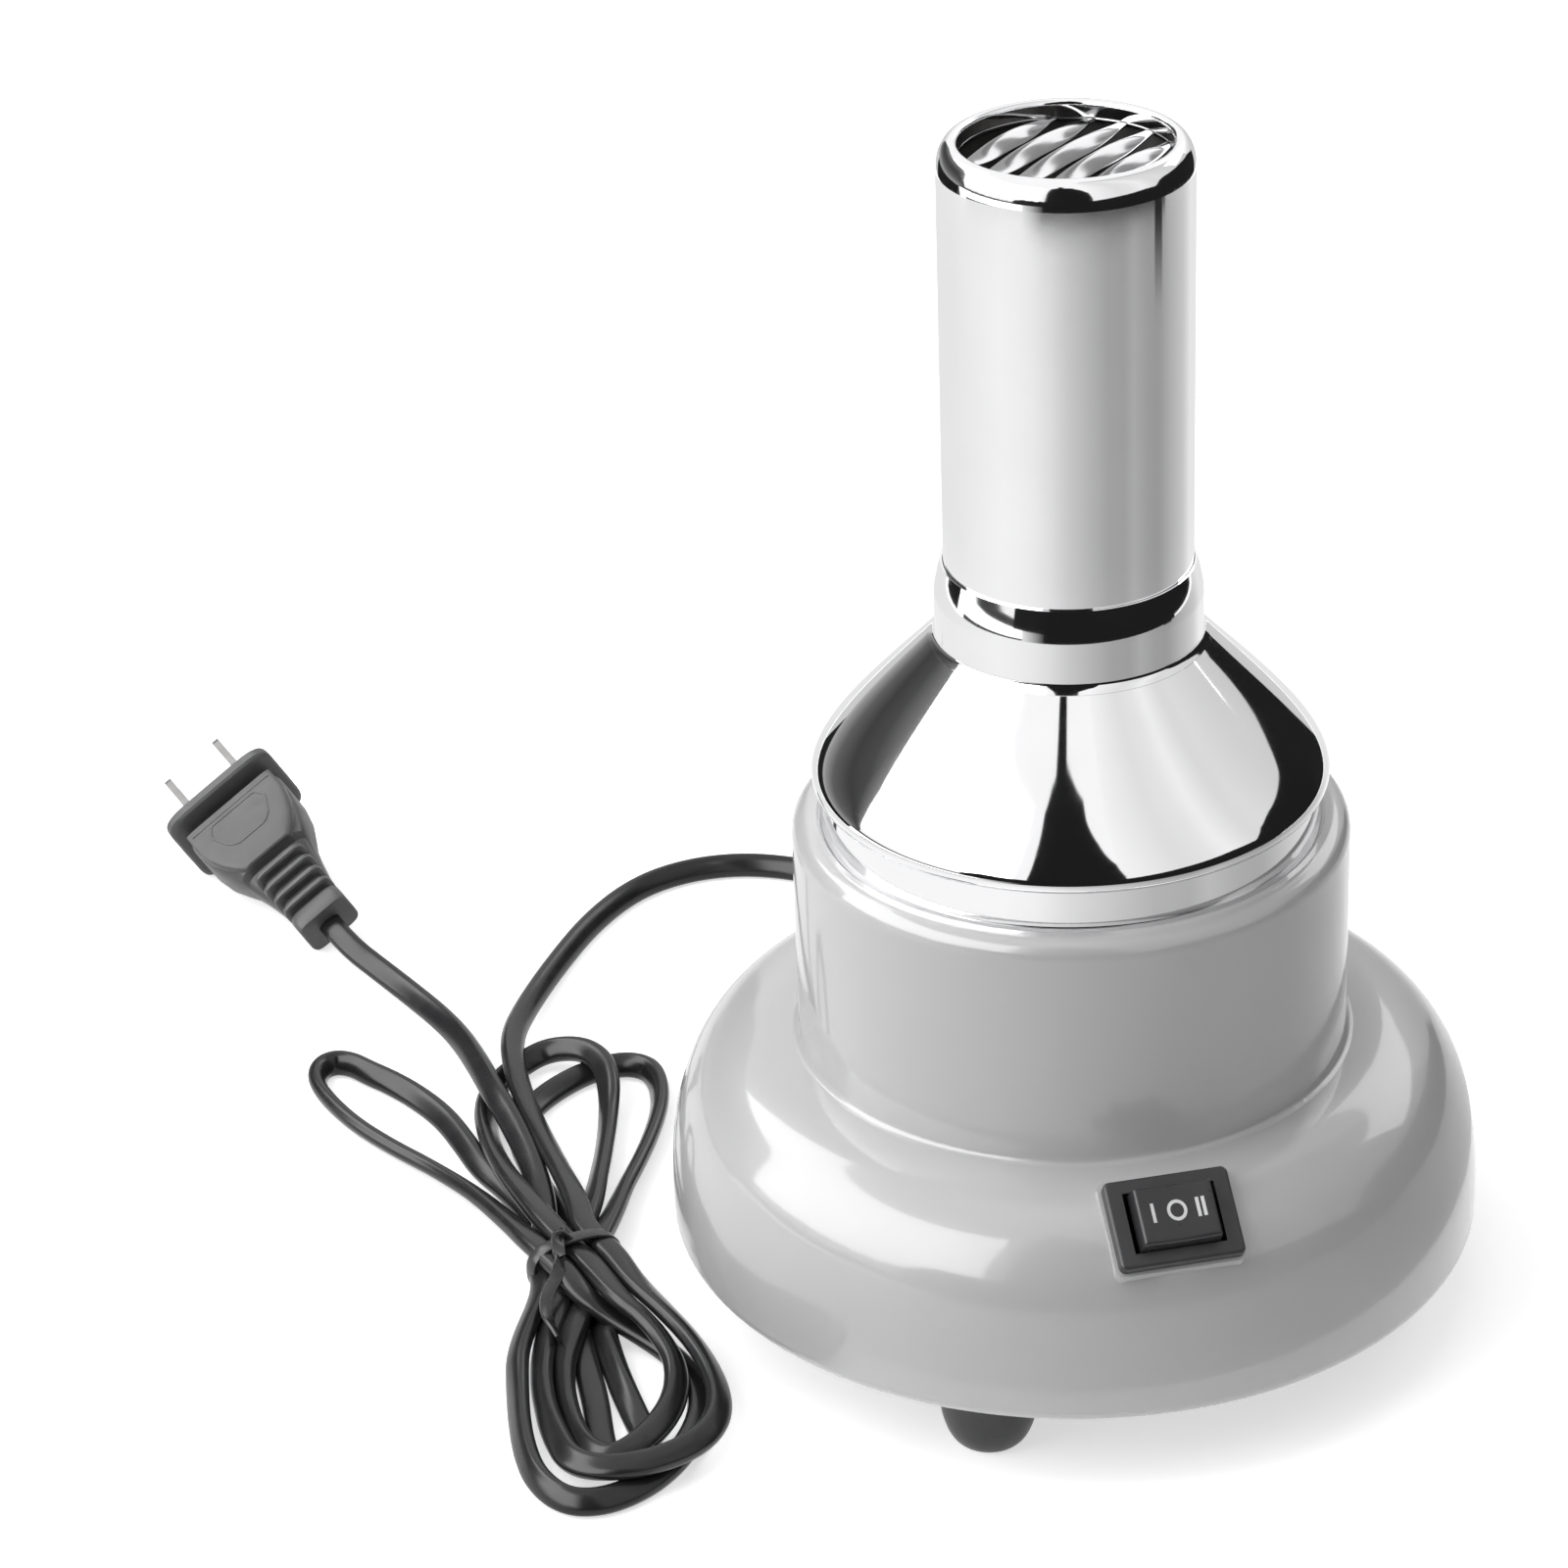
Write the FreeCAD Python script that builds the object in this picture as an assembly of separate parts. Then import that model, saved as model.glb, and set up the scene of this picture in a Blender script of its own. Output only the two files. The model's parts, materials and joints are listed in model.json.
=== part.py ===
"""Eyeglass frame warmer: a hot-air nozzle on a round weighted base, with its mains lead.

Millimetres. The origin is on the nozzle's axis at the surface that the feet stand on, +Z is up,
and the rocker switch faces -Y. Angles called "azimuth" are measured from -Y towards +X.
"""
import FreeCAD, Part
import math
import os

V = FreeCAD.Vector
X_AXIS = V(1, 0, 0)
Y_AXIS = V(0, 1, 0)
Z_AXIS = V(0, 0, 1)
UP = 1
DOWN = -1

# shape constants: a quarter round as a Bezier, the angles of a quarter arc, a screw head's rounding,
# and how near a direction or place must be to count as the same
QUARTER_ROUND = 0.5523
QUARTER_ANGLES = (0, math.pi / 4, math.pi / 2)
HEAD_ROUNDING = 0.4
ALONG = 0.99
SAME_PLACE = 0.001
HALVINGS = 40

# ---------------------------------------------------------------- driving dimensions
# running and seating clearances
SLIP = 0.05
LOOSE = 0.4
SCREW_PLAY = 0.15

# plastic housing: a straight drum that flares into a bulging skirt, section by section upwards
SKIRT_RADIUS = 70.0
DRUM_RADIUS = 47.0
SHELL_WALL = 2.6
RIM_ROUND = 2.6
RIM_TO_WIDEST = 4.85
SKIRT_HEIGHT = 35.8
SHOULDER_FULLNESS = 0.72
SHOULDER_FILLET = 1.2
DRUM_HEIGHT = 41.2
DRUM_TOP_ROUND = 3.2
LIP_WIDTH = 4.9
LIP_THICKNESS = 2.6
LIP_CHAMFER = 0.7
LIP_GAP = 0.4

# base plate, feet and the screws that hold both
FOOT_COUNT = 4
FOOT_AZIMUTH = -30.0
FOOT_INSET = 14.2
FOOT_HEIGHT = 14.4
FOOT_RADIUS = 8.4
FOOT_CONTACT_RADIUS = 4.4
FOOT_STRAIGHT = 4.0
FOOT_COUNTERBORE_PLAY = 0.3
FOOT_COUNTERBORE_DEPTH = 6.0
FOOT_SCREW_RADIUS = 1.5
FOOT_SCREW_HEAD_RADIUS = 2.8
FOOT_SCREW_HEAD = 2.2
FOOT_SCREW_GRIP = 6.0
FOOT_BOSS_RADIUS = 4.2
SCREW_HOLE_SPARE = 1.0
BASE_THICKNESS = 2.5
BASE_RECESS = 1.0
INTAKE_SLOTS = 18
INTAKE_INNER = 21.0
INTAKE_OUTER = 44.0
INTAKE_WIDTH = 3.0

# chrome dome, collar and nozzle
SHEET = 0.8
BAND_HEIGHT = 6.8
DOME_HEIGHT = 25.3
DOME_TOP_STEP = 3.1
DOME_BULGE_HIGH = (10.4, 13.4)
DOME_BULGE_LOW = (7.0, 1.0)
DOME_FLANGE_PLAY = 0.5
DOME_FLANGE_THICKNESS = 1.0
COLLAR_WALL = 1.6
COLLAR_HEIGHT = 10.4
COLLAR_TAPER = 4.2
COLLAR_EDGE = 0.25
NOZZLE_RADIUS = 20.6
NOZZLE_HEIGHT = 87.1
NOZZLE_FLANGE = 2.4
NOZZLE_ROUND_WIDTH = 2.7
NOZZLE_ROUND_HEIGHT = 4.6
OUTLET_LIP = 3.5
OUTLET_RECESS = 2.7

# outlet grille: a flat ring with parallel twisted strips
GRILLE_RING_THICKNESS = 1.0
GRILLE_RING_WIDTH = 1.7
GRILLE_STRIPS = 5
GRILLE_PITCH = 5.6
GRILLE_STRIP_THICKNESS = 0.7
GRILLE_STRIP_WIDTH = 4.6
GRILLE_STRIP_NECK = 2.4
GRILLE_TWIST = 52.0
GRILLE_HEADING = 42.0
GRILLE_SECTIONS = 9
GRILLE_ROOT = 0.9

# heater inside the nozzle
SHIELD_GAP = 0.6
SHIELD_WALL = 0.5
CARRIER_LEDGE = 2.2
CARRIER_THICKNESS = 1.0
CARRIER_ARM = 4.0
MICA_THICKNESS = 0.8
MICA_PLAY = 0.4
MICA_HEADROOM = 11.0
COIL_SETBACK = 1.7
COIL_WIRE = 0.8
COIL_TURNS = 7
COIL_SIDES = 8
COIL_START = 14.0
COIL_TOP_MARGIN = 2.0
NOTCH_PLAY = 0.6
CUTOUT_LENGTH = 9.0
CUTOUT_DEPTH = 4.0
CUTOUT_HEIGHT = 8.0
CUTOUT_OFFSET = 3.0
CUTOUT_LIFT = 1.6
FUSE_RADIUS = 1.7
FUSE_LENGTH = 9.0

# fan shroud and motor bracket
SHROUD_MARGIN = 7.7
SHROUD_WALL = 2.0
SHROUD_HEIGHT = 25.8
SHROUD_DECK = 2.5
SHROUD_DECK_DROP = 6.3
SHROUD_RIM_WIDTH = 2.5
LUG_THICKNESS = 3.0
LUG_WIDTH = 9.0
LUG_COUNT = 3
LUG_AZIMUTH = 60.0
LUG_INSET = 2.9
SHELL_BOSS_RADIUS = 3.8
SHELL_BOSS_HEIGHT = 15.0
BRACKET_THICKNESS = 1.5
BRACKET_HUB_RADIUS = 15.0
BRACKET_SCREW_RADIUS = 1.5
BRACKET_SCREW_HEAD_RADIUS = 2.8
BRACKET_SCREW_HEAD = 2.2
BRACKET_SCREW_REACH = 10.0
LEAD_HOLE_RADIUS = 1.7
LEAD_HOLE_SPREAD = 3.2

# motor
MOTOR_RADIUS = 16.0
MOTOR_LENGTH = 32.0
MOTOR_WALL = 1.2
MOTOR_FACE = 1.5
END_CAP_THICKNESS = 3.0
END_CAP_SPIGOT = 2.0
BEARING_WALL = 2.4
BEARING_LENGTH = 4.5
SHAFT_RADIUS = 1.6
SHAFT_PLAY = 0.04
SHAFT_TAIL = 1.2
MAGNET_THICKNESS = 2.6
MAGNET_LENGTH = 22.0
MAGNET_ANGLE = 130.0
CORE_AIR_GAP = 0.6
CORE_LENGTH = 16.0
CORE_SLOTS = 3
CORE_SLOT_WIDTH = 2.4
WINDING_STEP = 1.9
WINDING_DEPTH = 1.7
COMMUTATOR_WALL = 2.4
COMMUTATOR_LENGTH = 4.0
COMMUTATOR_LIFT = 0.4
BRUSH_WIDTH = 2.6
BRUSH_LENGTH = 5.0
BRUSH_GAP = 0.15
MOTOR_SCREW_RADIUS = 1.4
MOTOR_SCREW_HEAD_RADIUS = 2.4
MOTOR_SCREW_HEAD = 1.8
MOTOR_SCREW_CIRCLE = 9.0

# fan
FAN_TIP_GAP = 1.6
FAN_HUB_RADIUS = 8.0
FAN_HUB_HEIGHT = 13.0
FAN_HUB_ROUND = 1.0
FAN_GAP = 5.0
FAN_BLADES = 7
FAN_BLADE_THICKNESS = 1.4
FAN_BLADE_CHORD = 17.0
FAN_BLADE_PITCH = 35.0

# rocker switch, drawn flat with +Z out of its face, then tilted onto the skirt
SWITCH_TILT = 38.0
SWITCH_PROUD = 1.8
SWITCH_UPHILL = 0.8
BEZEL_LENGTH = 21.0
BEZEL_WIDTH = 15.2
BEZEL_THICKNESS = 2.0
BEZEL_ROUND = 1.1
BEZEL_EDGE = 0.7
BEZEL_OVERHANG = 1.1
SWITCH_BODY_DEPTH = 14.0
SWITCH_END_WALL = 1.7
SWITCH_SIDE_WALL = 1.3
ROCKER_CAVITY_DEPTH = 12.0
ROCKER_END_PLAY = 0.5
ROCKER_SIDE_PLAY = 0.3
ROCKER_END_SLOPE = 0.7
ROCKER_RISE = 2.4
ROCKER_DISH = 0.35
ROCKER_SHOULDER = 0.75
ROCKER_SKIRT = 5.0
ROCKER_EDGE = 0.5
PIVOT_DEPTH = 3.0
PIVOT_RADIUS = 1.2
PIVOT_REACH = 0.9
PIVOT_PLAY = 0.08
STEM_LENGTH = 3.0
STEM_WIDTH = 4.0
STEM_DEPTH = 9.0
TERMINAL_WIDTH = 4.8
TERMINAL_THICKNESS = 0.8
TERMINAL_LENGTH = 8.0
TERMINAL_PITCH = 6.0
PLINTH_MARGIN = 0.6
PLINTH_DEPTH = 4.2
PLINTH_ROUND = 1.4

# mains lead entry at the back
CORD_RADIUS = 2.1
CORD_ENTRY_LIFT = 10.1
PAD_RADIUS = 7.5
PAD_PROUD = 0.6
PAD_SETBACK = 0.25
GLAND_NECK_RADIUS = 4.2
GLAND_FLANGE_RADIUS = 6.4
GLAND_INNER_FLANGE_RADIUS = 5.4
GLAND_FLANGE = 1.6
GLAND_TAIL_LENGTH = 21.8
GLAND_TAIL_THICK = 4.4
GLAND_TAIL_THIN = 3.0
GLAND_RINGS = 5
GLAND_RING_LENGTH = 2.6
GLAND_GROOVE_DEPTH = 0.7
CLAMP_SETBACK = 10.0
CLAMP_LENGTH = 22.0
CLAMP_WIDTH = 7.0
CLAMP_THICKNESS = 2.5
CLAMP_SCREW_SPACING = 14.0
CLAMP_SCREW_RADIUS = 1.5
CLAMP_SCREW_HEAD_RADIUS = 2.8
CLAMP_SCREW_HEAD = 2.0
CLAMP_SCREW_REACH = 8.0
INNER_CORD_TAIL = 7.0

# terminal block, rectifier board and leads
BLOCK_SIZE = (22.0, 12.0, 12.1)
BLOCK_SETBACK = 5.0
BLOCK_GROOVE = (1.2, 2.0)
BOARD_SIZE = (24.0, 36.0)
BOARD_THICKNESS = 1.6
BOARD_X = 36.0
BOARD_LIFT = 2.4
BOARD_POST_RADIUS = 2.6
BOARD_SCREW_RADIUS = 1.2
BOARD_SCREW_HEAD_RADIUS = 2.2
BOARD_SCREW_HEAD = 1.4
BOARD_SCREW_REACH = 3.6
BOARD_SCREW_SPACING = 28.0
DIODE_RADIUS = 1.4
DIODE_LENGTH = 5.2
DIODE_PITCH = 5.5
DIODE_COUNT = 4

# internal leads: their straight ends, how far they pass from the motor, and where they land
LEAD_RADIUS = 0.9
LEAD_STUB = 1.4
LEAD_STANDOFF = 6.0
LEAD_TO_MOTOR = 4.5
HEATER_LEAD_DROP = 9.0
HEATER_LEAD_BEND_RISE = 16.0
HEATER_LEAD_LEVEL = 35.0
HEATER_LEAD_REACH = 7.2
HEATER_LEAD_SPREAD = 5.2
MOTOR_LEAD_REACH = 10.0
MOTOR_LEAD_SPREAD = 7.2
MOTOR_LEAD_CLOSE = 4.8
SUPPLY_LEAD_SPREAD = 3.6
SWITCH_LEAD_SPREAD = 6.2
SWITCH_LEAD_LOW = 8.0
SWITCH_LEAD_HIGH = 12.5
SWITCH_LEAD_BENDS = (10.0, -16.0)

# mains plug: X towards the blades, Y across them, Z out of its broad face; its front from the tie
PLUG_FRONT = V(-39.4, 170.5, 13.55)
PLUG_YAW = 109.8
PLUG_PITCH = -10.3
PLUG_ROLL = -31.0
PLUG_LENGTH = 42.6
PLUG_FLANGE = (3.2, 25.5, 17.5)
PLUG_FLANGE_ROUND = 3.4
PLUG_FLANGE_EDGE = 0.8
PLUG_BODY_START = (19.6, 13.4)
PLUG_BODY_END = (11.4, 9.0)
PLUG_BODY_LENGTH = 19.0
PLUG_BODY_STRAIGHT = 7.0
PLUG_BODY_ROUND = 3.0
PLUG_RELIEF_CORE = (8.2, 6.2)
PLUG_RIBS = 4
PLUG_RIB_START = (11.2, 8.8)
PLUG_RIB_END = (9.8, 8.0)
PLUG_RIB_THICKNESS = 1.9
PLUG_RIB_ROUND = 1.6
PLUG_COLLAR = (4.4, 11.4, 8.6)
BLADE_SPACING = 12.7
BLADE = (16.0, 1.5, 6.3)
BLADE_ROOT = 9.0
BLADE_HOLE_RADIUS = 1.6
BLADE_HOLE_SETBACK = 4.0

# the lead's drop to the floor, from the gland's mouth: sideways, back, and the share of the height left
CORD_DROP = [
    (0.0, 0.0, 1.0),
    (0.0, 12.5, 1.0),
    (-1.0, 26.0, 0.7),
    (-3.5, 37.5, 0.22),
]
# the lead on the floor, from the tie: to the hank, and from the hank to the plug
CORD_LAY = [
    (76.5, 127.9),
    (68.0, 135.4),
    (58.0, 139.2),
    (47.0, 139.0),
    (36.5, 134.4),
    (26.0, 123.9),
    (16.0, 108.9),
    (7.0, 91.9),
    (1.7, 74.9),
]
TAIL_LAY = [
    (-3.0, 71.9),
    (-5.3, 83.9),
    (-8.5, 96.9),
    (-13.0, 107.4),
]
TAIL_LIFT = V(-17.9, 116.1, 0.7)
TAIL_LEAD_IN = 8.0
BEND_SHARE = 0.45

# the hank: three flat lobes of turns, drawn together by a tie, beside the housing
TIE_ASIDE = 17.0
TIE_FORWARD = 56.4
HANK_HEIGHT = 7.0
NECK_WIDTH = 14.0
NECK_LENGTH = 9.0
NECK_BOTTOM = 1.4
NECK_TOP = 10.4
LOBES = [
    (V(0.4, -47.1, 0), 20.0),
    (V(10.5, 58.9, 0), 20.0),
    (V(-26.0, 72.4, 0), 11.5),
]
LOBE_NECK_RADIUS = 6.5
TIE_WIDTH = 3.0
TIE_THICKNESS = 1.1
TIE_PLAY = 0.1
TIE_ROOM = 1.0


def flare_share(rise):
    """Share of the flare's width that is left at a share of its rise."""
    low, high = 0.0, 1.0
    for _ in range(HALVINGS):
        middle = (low + high) / 2
        rest = 1.0 - middle
        height = 3 * middle * rest * (rest * SHOULDER_FULLNESS + middle) + middle ** 3
        if height < rise:
            low = middle
        else:
            high = middle
    rest = 1.0 - low
    return rest ** 3 + 3 * low * rest * (rest + low * SHOULDER_FULLNESS)


# ---------------------------------------------------------------- derived places
BASE_BOTTOM = FOOT_HEIGHT
BASE_TOP = BASE_BOTTOM + BASE_THICKNESS
BASE_RADIUS = SKIRT_RADIUS - SHELL_WALL - LOOSE
RIM_HEIGHT = BASE_BOTTOM - BASE_RECESS
WIDEST_HEIGHT = RIM_HEIGHT + RIM_TO_WIDEST
SHOULDER_HEIGHT = RIM_HEIGHT + SKIRT_HEIGHT
DRUM_TOP = SHOULDER_HEIGHT + DRUM_HEIGHT
LIP_UNDERSIDE = DRUM_TOP - LIP_THICKNESS
LIP_RADIUS = DRUM_RADIUS - LIP_WIDTH
FOOT_CIRCLE = SKIRT_RADIUS - FOOT_INSET
DOME_CREASE_RADIUS = LIP_RADIUS - LIP_GAP
DOME_CREASE = DRUM_TOP + BAND_HEIGHT
DOME_TOP = DOME_CREASE + DOME_HEIGHT
DOME_TOP_RADIUS = NOZZLE_RADIUS + DOME_TOP_STEP
DOME_INSIDE_TOP = DOME_TOP - SHEET
DOME_FLANGE_RADIUS = DRUM_RADIUS - SHELL_WALL - DOME_FLANGE_PLAY
DOME_FLANGE_BOTTOM = LIP_UNDERSIDE - DOME_FLANGE_THICKNESS
NOZZLE_TOP = DOME_TOP + NOZZLE_HEIGHT
NOZZLE_BOTTOM = DOME_INSIDE_TOP - SHEET
NOZZLE_BORE = NOZZLE_RADIUS - SHEET
NOZZLE_FLANGE_RADIUS = NOZZLE_RADIUS + NOZZLE_FLANGE
COLLAR_BORE = NOZZLE_RADIUS + SLIP
COLLAR_RADIUS = COLLAR_BORE + COLLAR_WALL
OUTLET_RADIUS = NOZZLE_RADIUS - OUTLET_LIP
GRILLE_TOP = NOZZLE_TOP - OUTLET_RECESS
GRILLE_BOTTOM = GRILLE_TOP - GRILLE_RING_THICKNESS
SHIELD_RADIUS = NOZZLE_BORE - SHIELD_GAP
SHIELD_BORE = SHIELD_RADIUS - SHIELD_WALL
CARRIER_BORE = SHIELD_BORE - CARRIER_LEDGE
CARRIER_BOTTOM = NOZZLE_BOTTOM - CARRIER_THICKNESS
MICA_RADIUS = SHIELD_BORE - MICA_PLAY
MICA_TOP = GRILLE_BOTTOM - MICA_HEADROOM
COIL_RADIUS = MICA_RADIUS - COIL_SETBACK
COIL_BOTTOM = NOZZLE_BOTTOM + COIL_START
COIL_HEIGHT = MICA_TOP - COIL_TOP_MARGIN - COIL_BOTTOM
COIL_PITCH = COIL_HEIGHT / COIL_TURNS
SHROUD_BOTTOM = DOME_FLANGE_BOTTOM - SHROUD_HEIGHT
SHROUD_RADIUS = DOME_FLANGE_RADIUS - SHROUD_MARGIN
SHROUD_BORE = SHROUD_RADIUS - SHROUD_WALL
SHROUD_RIM_BORE = DOME_FLANGE_RADIUS - SHROUD_RIM_WIDTH
DECK_BOTTOM = DOME_FLANGE_BOTTOM - SHROUD_DECK_DROP
DECK_TOP = DECK_BOTTOM + SHROUD_DECK
LUG_TOP = SHROUD_BOTTOM + LUG_THICKNESS
LUG_CIRCLE = DOME_FLANGE_RADIUS - LUG_INSET
LEAD_HOLE_CIRCLE = (SHROUD_RADIUS + SHROUD_RIM_BORE) / 2
BRACKET_BOTTOM = SHROUD_BOTTOM - BRACKET_THICKNESS
MOTOR_TOP = BRACKET_BOTTOM
MOTOR_BOTTOM = MOTOR_TOP - MOTOR_LENGTH
MOTOR_BORE = MOTOR_RADIUS - MOTOR_WALL
SPIGOT_TOP = MOTOR_BOTTOM + END_CAP_SPIGOT
END_CAP_BOTTOM = MOTOR_BOTTOM - END_CAP_THICKNESS
BEARING_RADIUS = SHAFT_RADIUS + SHAFT_PLAY + BEARING_WALL
MAGNET_MIDDLE = (SPIGOT_TOP + MOTOR_TOP) / 2
CORE_RADIUS = MOTOR_BORE - SLIP - MAGNET_THICKNESS - CORE_AIR_GAP
CORE_BOTTOM = MAGNET_MIDDLE - CORE_LENGTH / 2
CORE_TOP = CORE_BOTTOM + CORE_LENGTH
COMMUTATOR_RADIUS = SHAFT_RADIUS + COMMUTATOR_WALL
COMMUTATOR_BOTTOM = SPIGOT_TOP + COMMUTATOR_LIFT
FAN_RADIUS = SHROUD_BORE - FAN_TIP_GAP
FAN_BOTTOM = SHROUD_BOTTOM + FAN_GAP
FAN_TOP = FAN_BOTTOM + FAN_HUB_HEIGHT
SWITCH_BODY_LENGTH = BEZEL_LENGTH - 2 * BEZEL_OVERHANG
SWITCH_BODY_WIDTH = BEZEL_WIDTH - 2 * BEZEL_OVERHANG
ROCKER_OPENING_LENGTH = SWITCH_BODY_LENGTH - 2 * SWITCH_END_WALL
ROCKER_OPENING_WIDTH = SWITCH_BODY_WIDTH - 2 * SWITCH_SIDE_WALL
ROCKER_FOOT_LENGTH = ROCKER_OPENING_LENGTH - 2 * ROCKER_END_PLAY
ROCKER_TOP_LENGTH = ROCKER_FOOT_LENGTH - 2 * ROCKER_END_SLOPE
ROCKER_WIDTH = ROCKER_OPENING_WIDTH - 2 * ROCKER_SIDE_PLAY
SWITCH_BODY_BOTTOM = -BEZEL_THICKNESS - SWITCH_BODY_DEPTH
CORD_ENTRY_HEIGHT = BASE_TOP + CORD_ENTRY_LIFT
CORD_TOP = CORD_ENTRY_HEIGHT + CORD_RADIUS
FLANGE_RISE = CORD_ENTRY_HEIGHT + GLAND_INNER_FLANGE_RADIUS - WIDEST_HEIGHT
HOLLOW_RISE = SHOULDER_HEIGHT - SHELL_WALL - WIDEST_HEIGHT
FLANGE_REACH = DRUM_RADIUS - SHELL_WALL + flare_share(FLANGE_RISE / HOLLOW_RISE) * (SKIRT_RADIUS - DRUM_RADIUS)
PAD_FACE = SKIRT_RADIUS + PAD_PROUD
PAD_INSIDE = FLANGE_REACH - PAD_SETBACK
PAD_DEPTH = PAD_FACE - PAD_INSIDE
CLAMP_Y = PAD_INSIDE - CLAMP_SETBACK
INNER_CORD_END = CLAMP_Y - INNER_CORD_TAIL
BLOCK_FACE = INNER_CORD_END - BLOCK_SETBACK
BLOCK_Y = BLOCK_FACE - BLOCK_SIZE[1] / 2
BOARD_BOTTOM = BASE_TOP + BOARD_LIFT
BOARD_TOP = BOARD_BOTTOM + BOARD_THICKNESS
GLAND_MOUTH = V(0, PAD_FACE + GLAND_FLANGE + GLAND_TAIL_LENGTH, CORD_ENTRY_HEIGHT)
TIE_PLACE = V(-SKIRT_RADIUS - TIE_ASIDE, SKIRT_RADIUS - TIE_FORWARD, 0)
PLUG_PLACE = FreeCAD.Placement(TIE_PLACE + PLUG_FRONT, FreeCAD.Rotation(PLUG_YAW, PLUG_PITCH, PLUG_ROLL))


# ---------------------------------------------------------------- helpers
def cylinder(radius, bottom, top, x=0.0, y=0.0):
    return Part.makeCylinder(radius, top - bottom, V(x, y, bottom))


def ring(outer, inner, bottom, top):
    return cylinder(outer, bottom, top).cut(cylinder(inner, bottom, top))


def block(x_range, y_range, z_range):
    size = [high - low for low, high in (x_range, y_range, z_range)]
    return Part.makeBox(size[0], size[1], size[2], V(x_range[0], y_range[0], z_range[0]))


def around(half, middle=0.0):
    return (middle - half, middle + half)


def spun(shape, azimuth):
    shape.rotate(V(0, 0, 0), Z_AXIS, azimuth)
    return shape


def on_circle(radius, azimuth):
    angle = math.radians(azimuth)
    return V(radius * math.sin(angle), -radius * math.cos(angle), 0)


def azimuths(count, first):
    return [first + 360.0 * i / count for i in range(count)]


def fused(shapes):
    return shapes[0].multiFuse(shapes[1:]).removeSplitter()


def turned(edges):
    """A solid of revolution about Z from a closed profile in the XZ plane."""
    face = Part.Face(Part.Wire(edges))
    return face.revolve(V(0, 0, 0), Z_AXIS, 360)


def profile_lines(points):
    vectors = [V(x, 0, z) for x, z in points]
    return [Part.LineSegment(a, b).toShape() for a, b in zip(vectors, vectors[1:])]


def bezier(points):
    curve = Part.BezierCurve()
    curve.setPoles([V(x, 0, z) for x, z in points])
    return curve


def profile_bezier(points):
    return bezier(points).toShape()


def profile_round(start, corner, end):
    """A quarter round from start to end, bulging towards the corner."""
    handle_a = [a + QUARTER_ROUND * (c - a) for a, c in zip(start, corner)]
    handle_b = [b + QUARTER_ROUND * (c - b) for b, c in zip(end, corner)]
    return profile_bezier([start, handle_a, handle_b, end])


def rounded_outline(width, height, radius, x):
    """The outline of a rounded rectangle in the YZ plane at x."""
    half_y = width / 2 - radius
    half_z = height / 2 - radius
    edges = []
    for quarter in range(4):
        turn = math.pi / 2 * quarter
        side_y, side_z = ((1, 1), (-1, 1), (-1, -1), (1, -1))[quarter]
        centre = V(x, side_y * half_y, side_z * half_z)
        spots = [centre + V(0, math.cos(turn + a), math.sin(turn + a)) * radius for a in QUARTER_ANGLES]
        edges.append(Part.Arc(*spots).toShape())
    corners = edges[1:] + edges[:1]
    sides = [Part.LineSegment(a.Vertexes[-1].Point, b.Vertexes[0].Point).toShape()
             for a, b in zip(edges, corners)]
    return Part.Wire([edge for pair in zip(edges, sides) for edge in pair])


def rounded_block(width, height, radius, x_low, x_high):
    face = Part.Face(rounded_outline(width, height, radius, x_low))
    return face.extrude(V(x_high - x_low, 0, 0))


def vertical_edges(shape):
    return [e for e in shape.Edges if abs(e.tangentAt(e.FirstParameter).z) > ALONG]


def flat_edges_at(shape, z):
    return [e for e in shape.Edges if max(abs(e.BoundBox.ZMin - z), abs(e.BoundBox.ZMax - z)) < SAME_PLACE]


def corner_arc(before, corner, after):
    """The tangent arc that rounds one corner of a route: its radius, start, middle and end."""
    incoming = (corner - before).normalize()
    outgoing = (after - corner).normalize()
    half_turn = incoming.getAngle(outgoing) / 2
    shorter = min(before.distanceToPoint(corner), corner.distanceToPoint(after))
    setback = BEND_SHARE * shorter
    radius = setback / math.tan(half_turn)
    start = corner - incoming * setback
    end = corner + outgoing * setback
    inward = ((start + end) * 0.5 - corner).normalize()
    middle = corner + inward * (radius / math.cos(half_turn) - radius)
    return radius, start, middle, end


def tube(route, radius, label=None):
    """A round tube along straight runs joined by tangent arcs."""
    edges = []
    radii = []
    place = route[0]
    for before, corner, after in zip(route, route[1:], route[2:]):
        bend, start, middle, end = corner_arc(before, corner, after)
        radii.append(bend)
        edges.append(Part.LineSegment(place, start).toShape())
        edges.append(Part.Arc(start, middle, end).toShape())
        place = end
    edges.append(Part.LineSegment(place, route[-1]).toShape())
    path = Part.Wire(edges)
    section = Part.Wire(Part.makeCircle(radius, route[0], route[1] - route[0]))
    solid = path.makePipeShell([section], True, True)
    if label:
        fullness = solid.Volume / (math.pi * radius ** 2 * path.Length)
        print(label, "length %.1f" % path.Length, "volume / (section x length) %.4f" % fullness)
        print(label, "radii", " ".join("%.1f" % r for r in radii))
    return solid


def screw(place, seat, reach, shank_radius, head_radius, head_height, side):
    """A pan-head screw on a vertical axis. Its head stands on the seat to one side, +1 up or -1 down."""
    low_shank, high_shank = sorted([seat, seat - side * reach])
    low_head, high_head = sorted([seat, seat + side * head_height])
    shank = cylinder(shank_radius, low_shank, high_shank, place.x, place.y)
    head = cylinder(head_radius, low_head, high_head, place.x, place.y)
    head = head.makeFillet(head_height * HEAD_ROUNDING, flat_edges_at(head, seat + side * head_height))
    return shank.fuse(head)


def drilled(shape, places, radius, bottom, top):
    for place in places:
        shape = shape.cut(cylinder(radius, bottom, top, place.x, place.y))
    return shape


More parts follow.
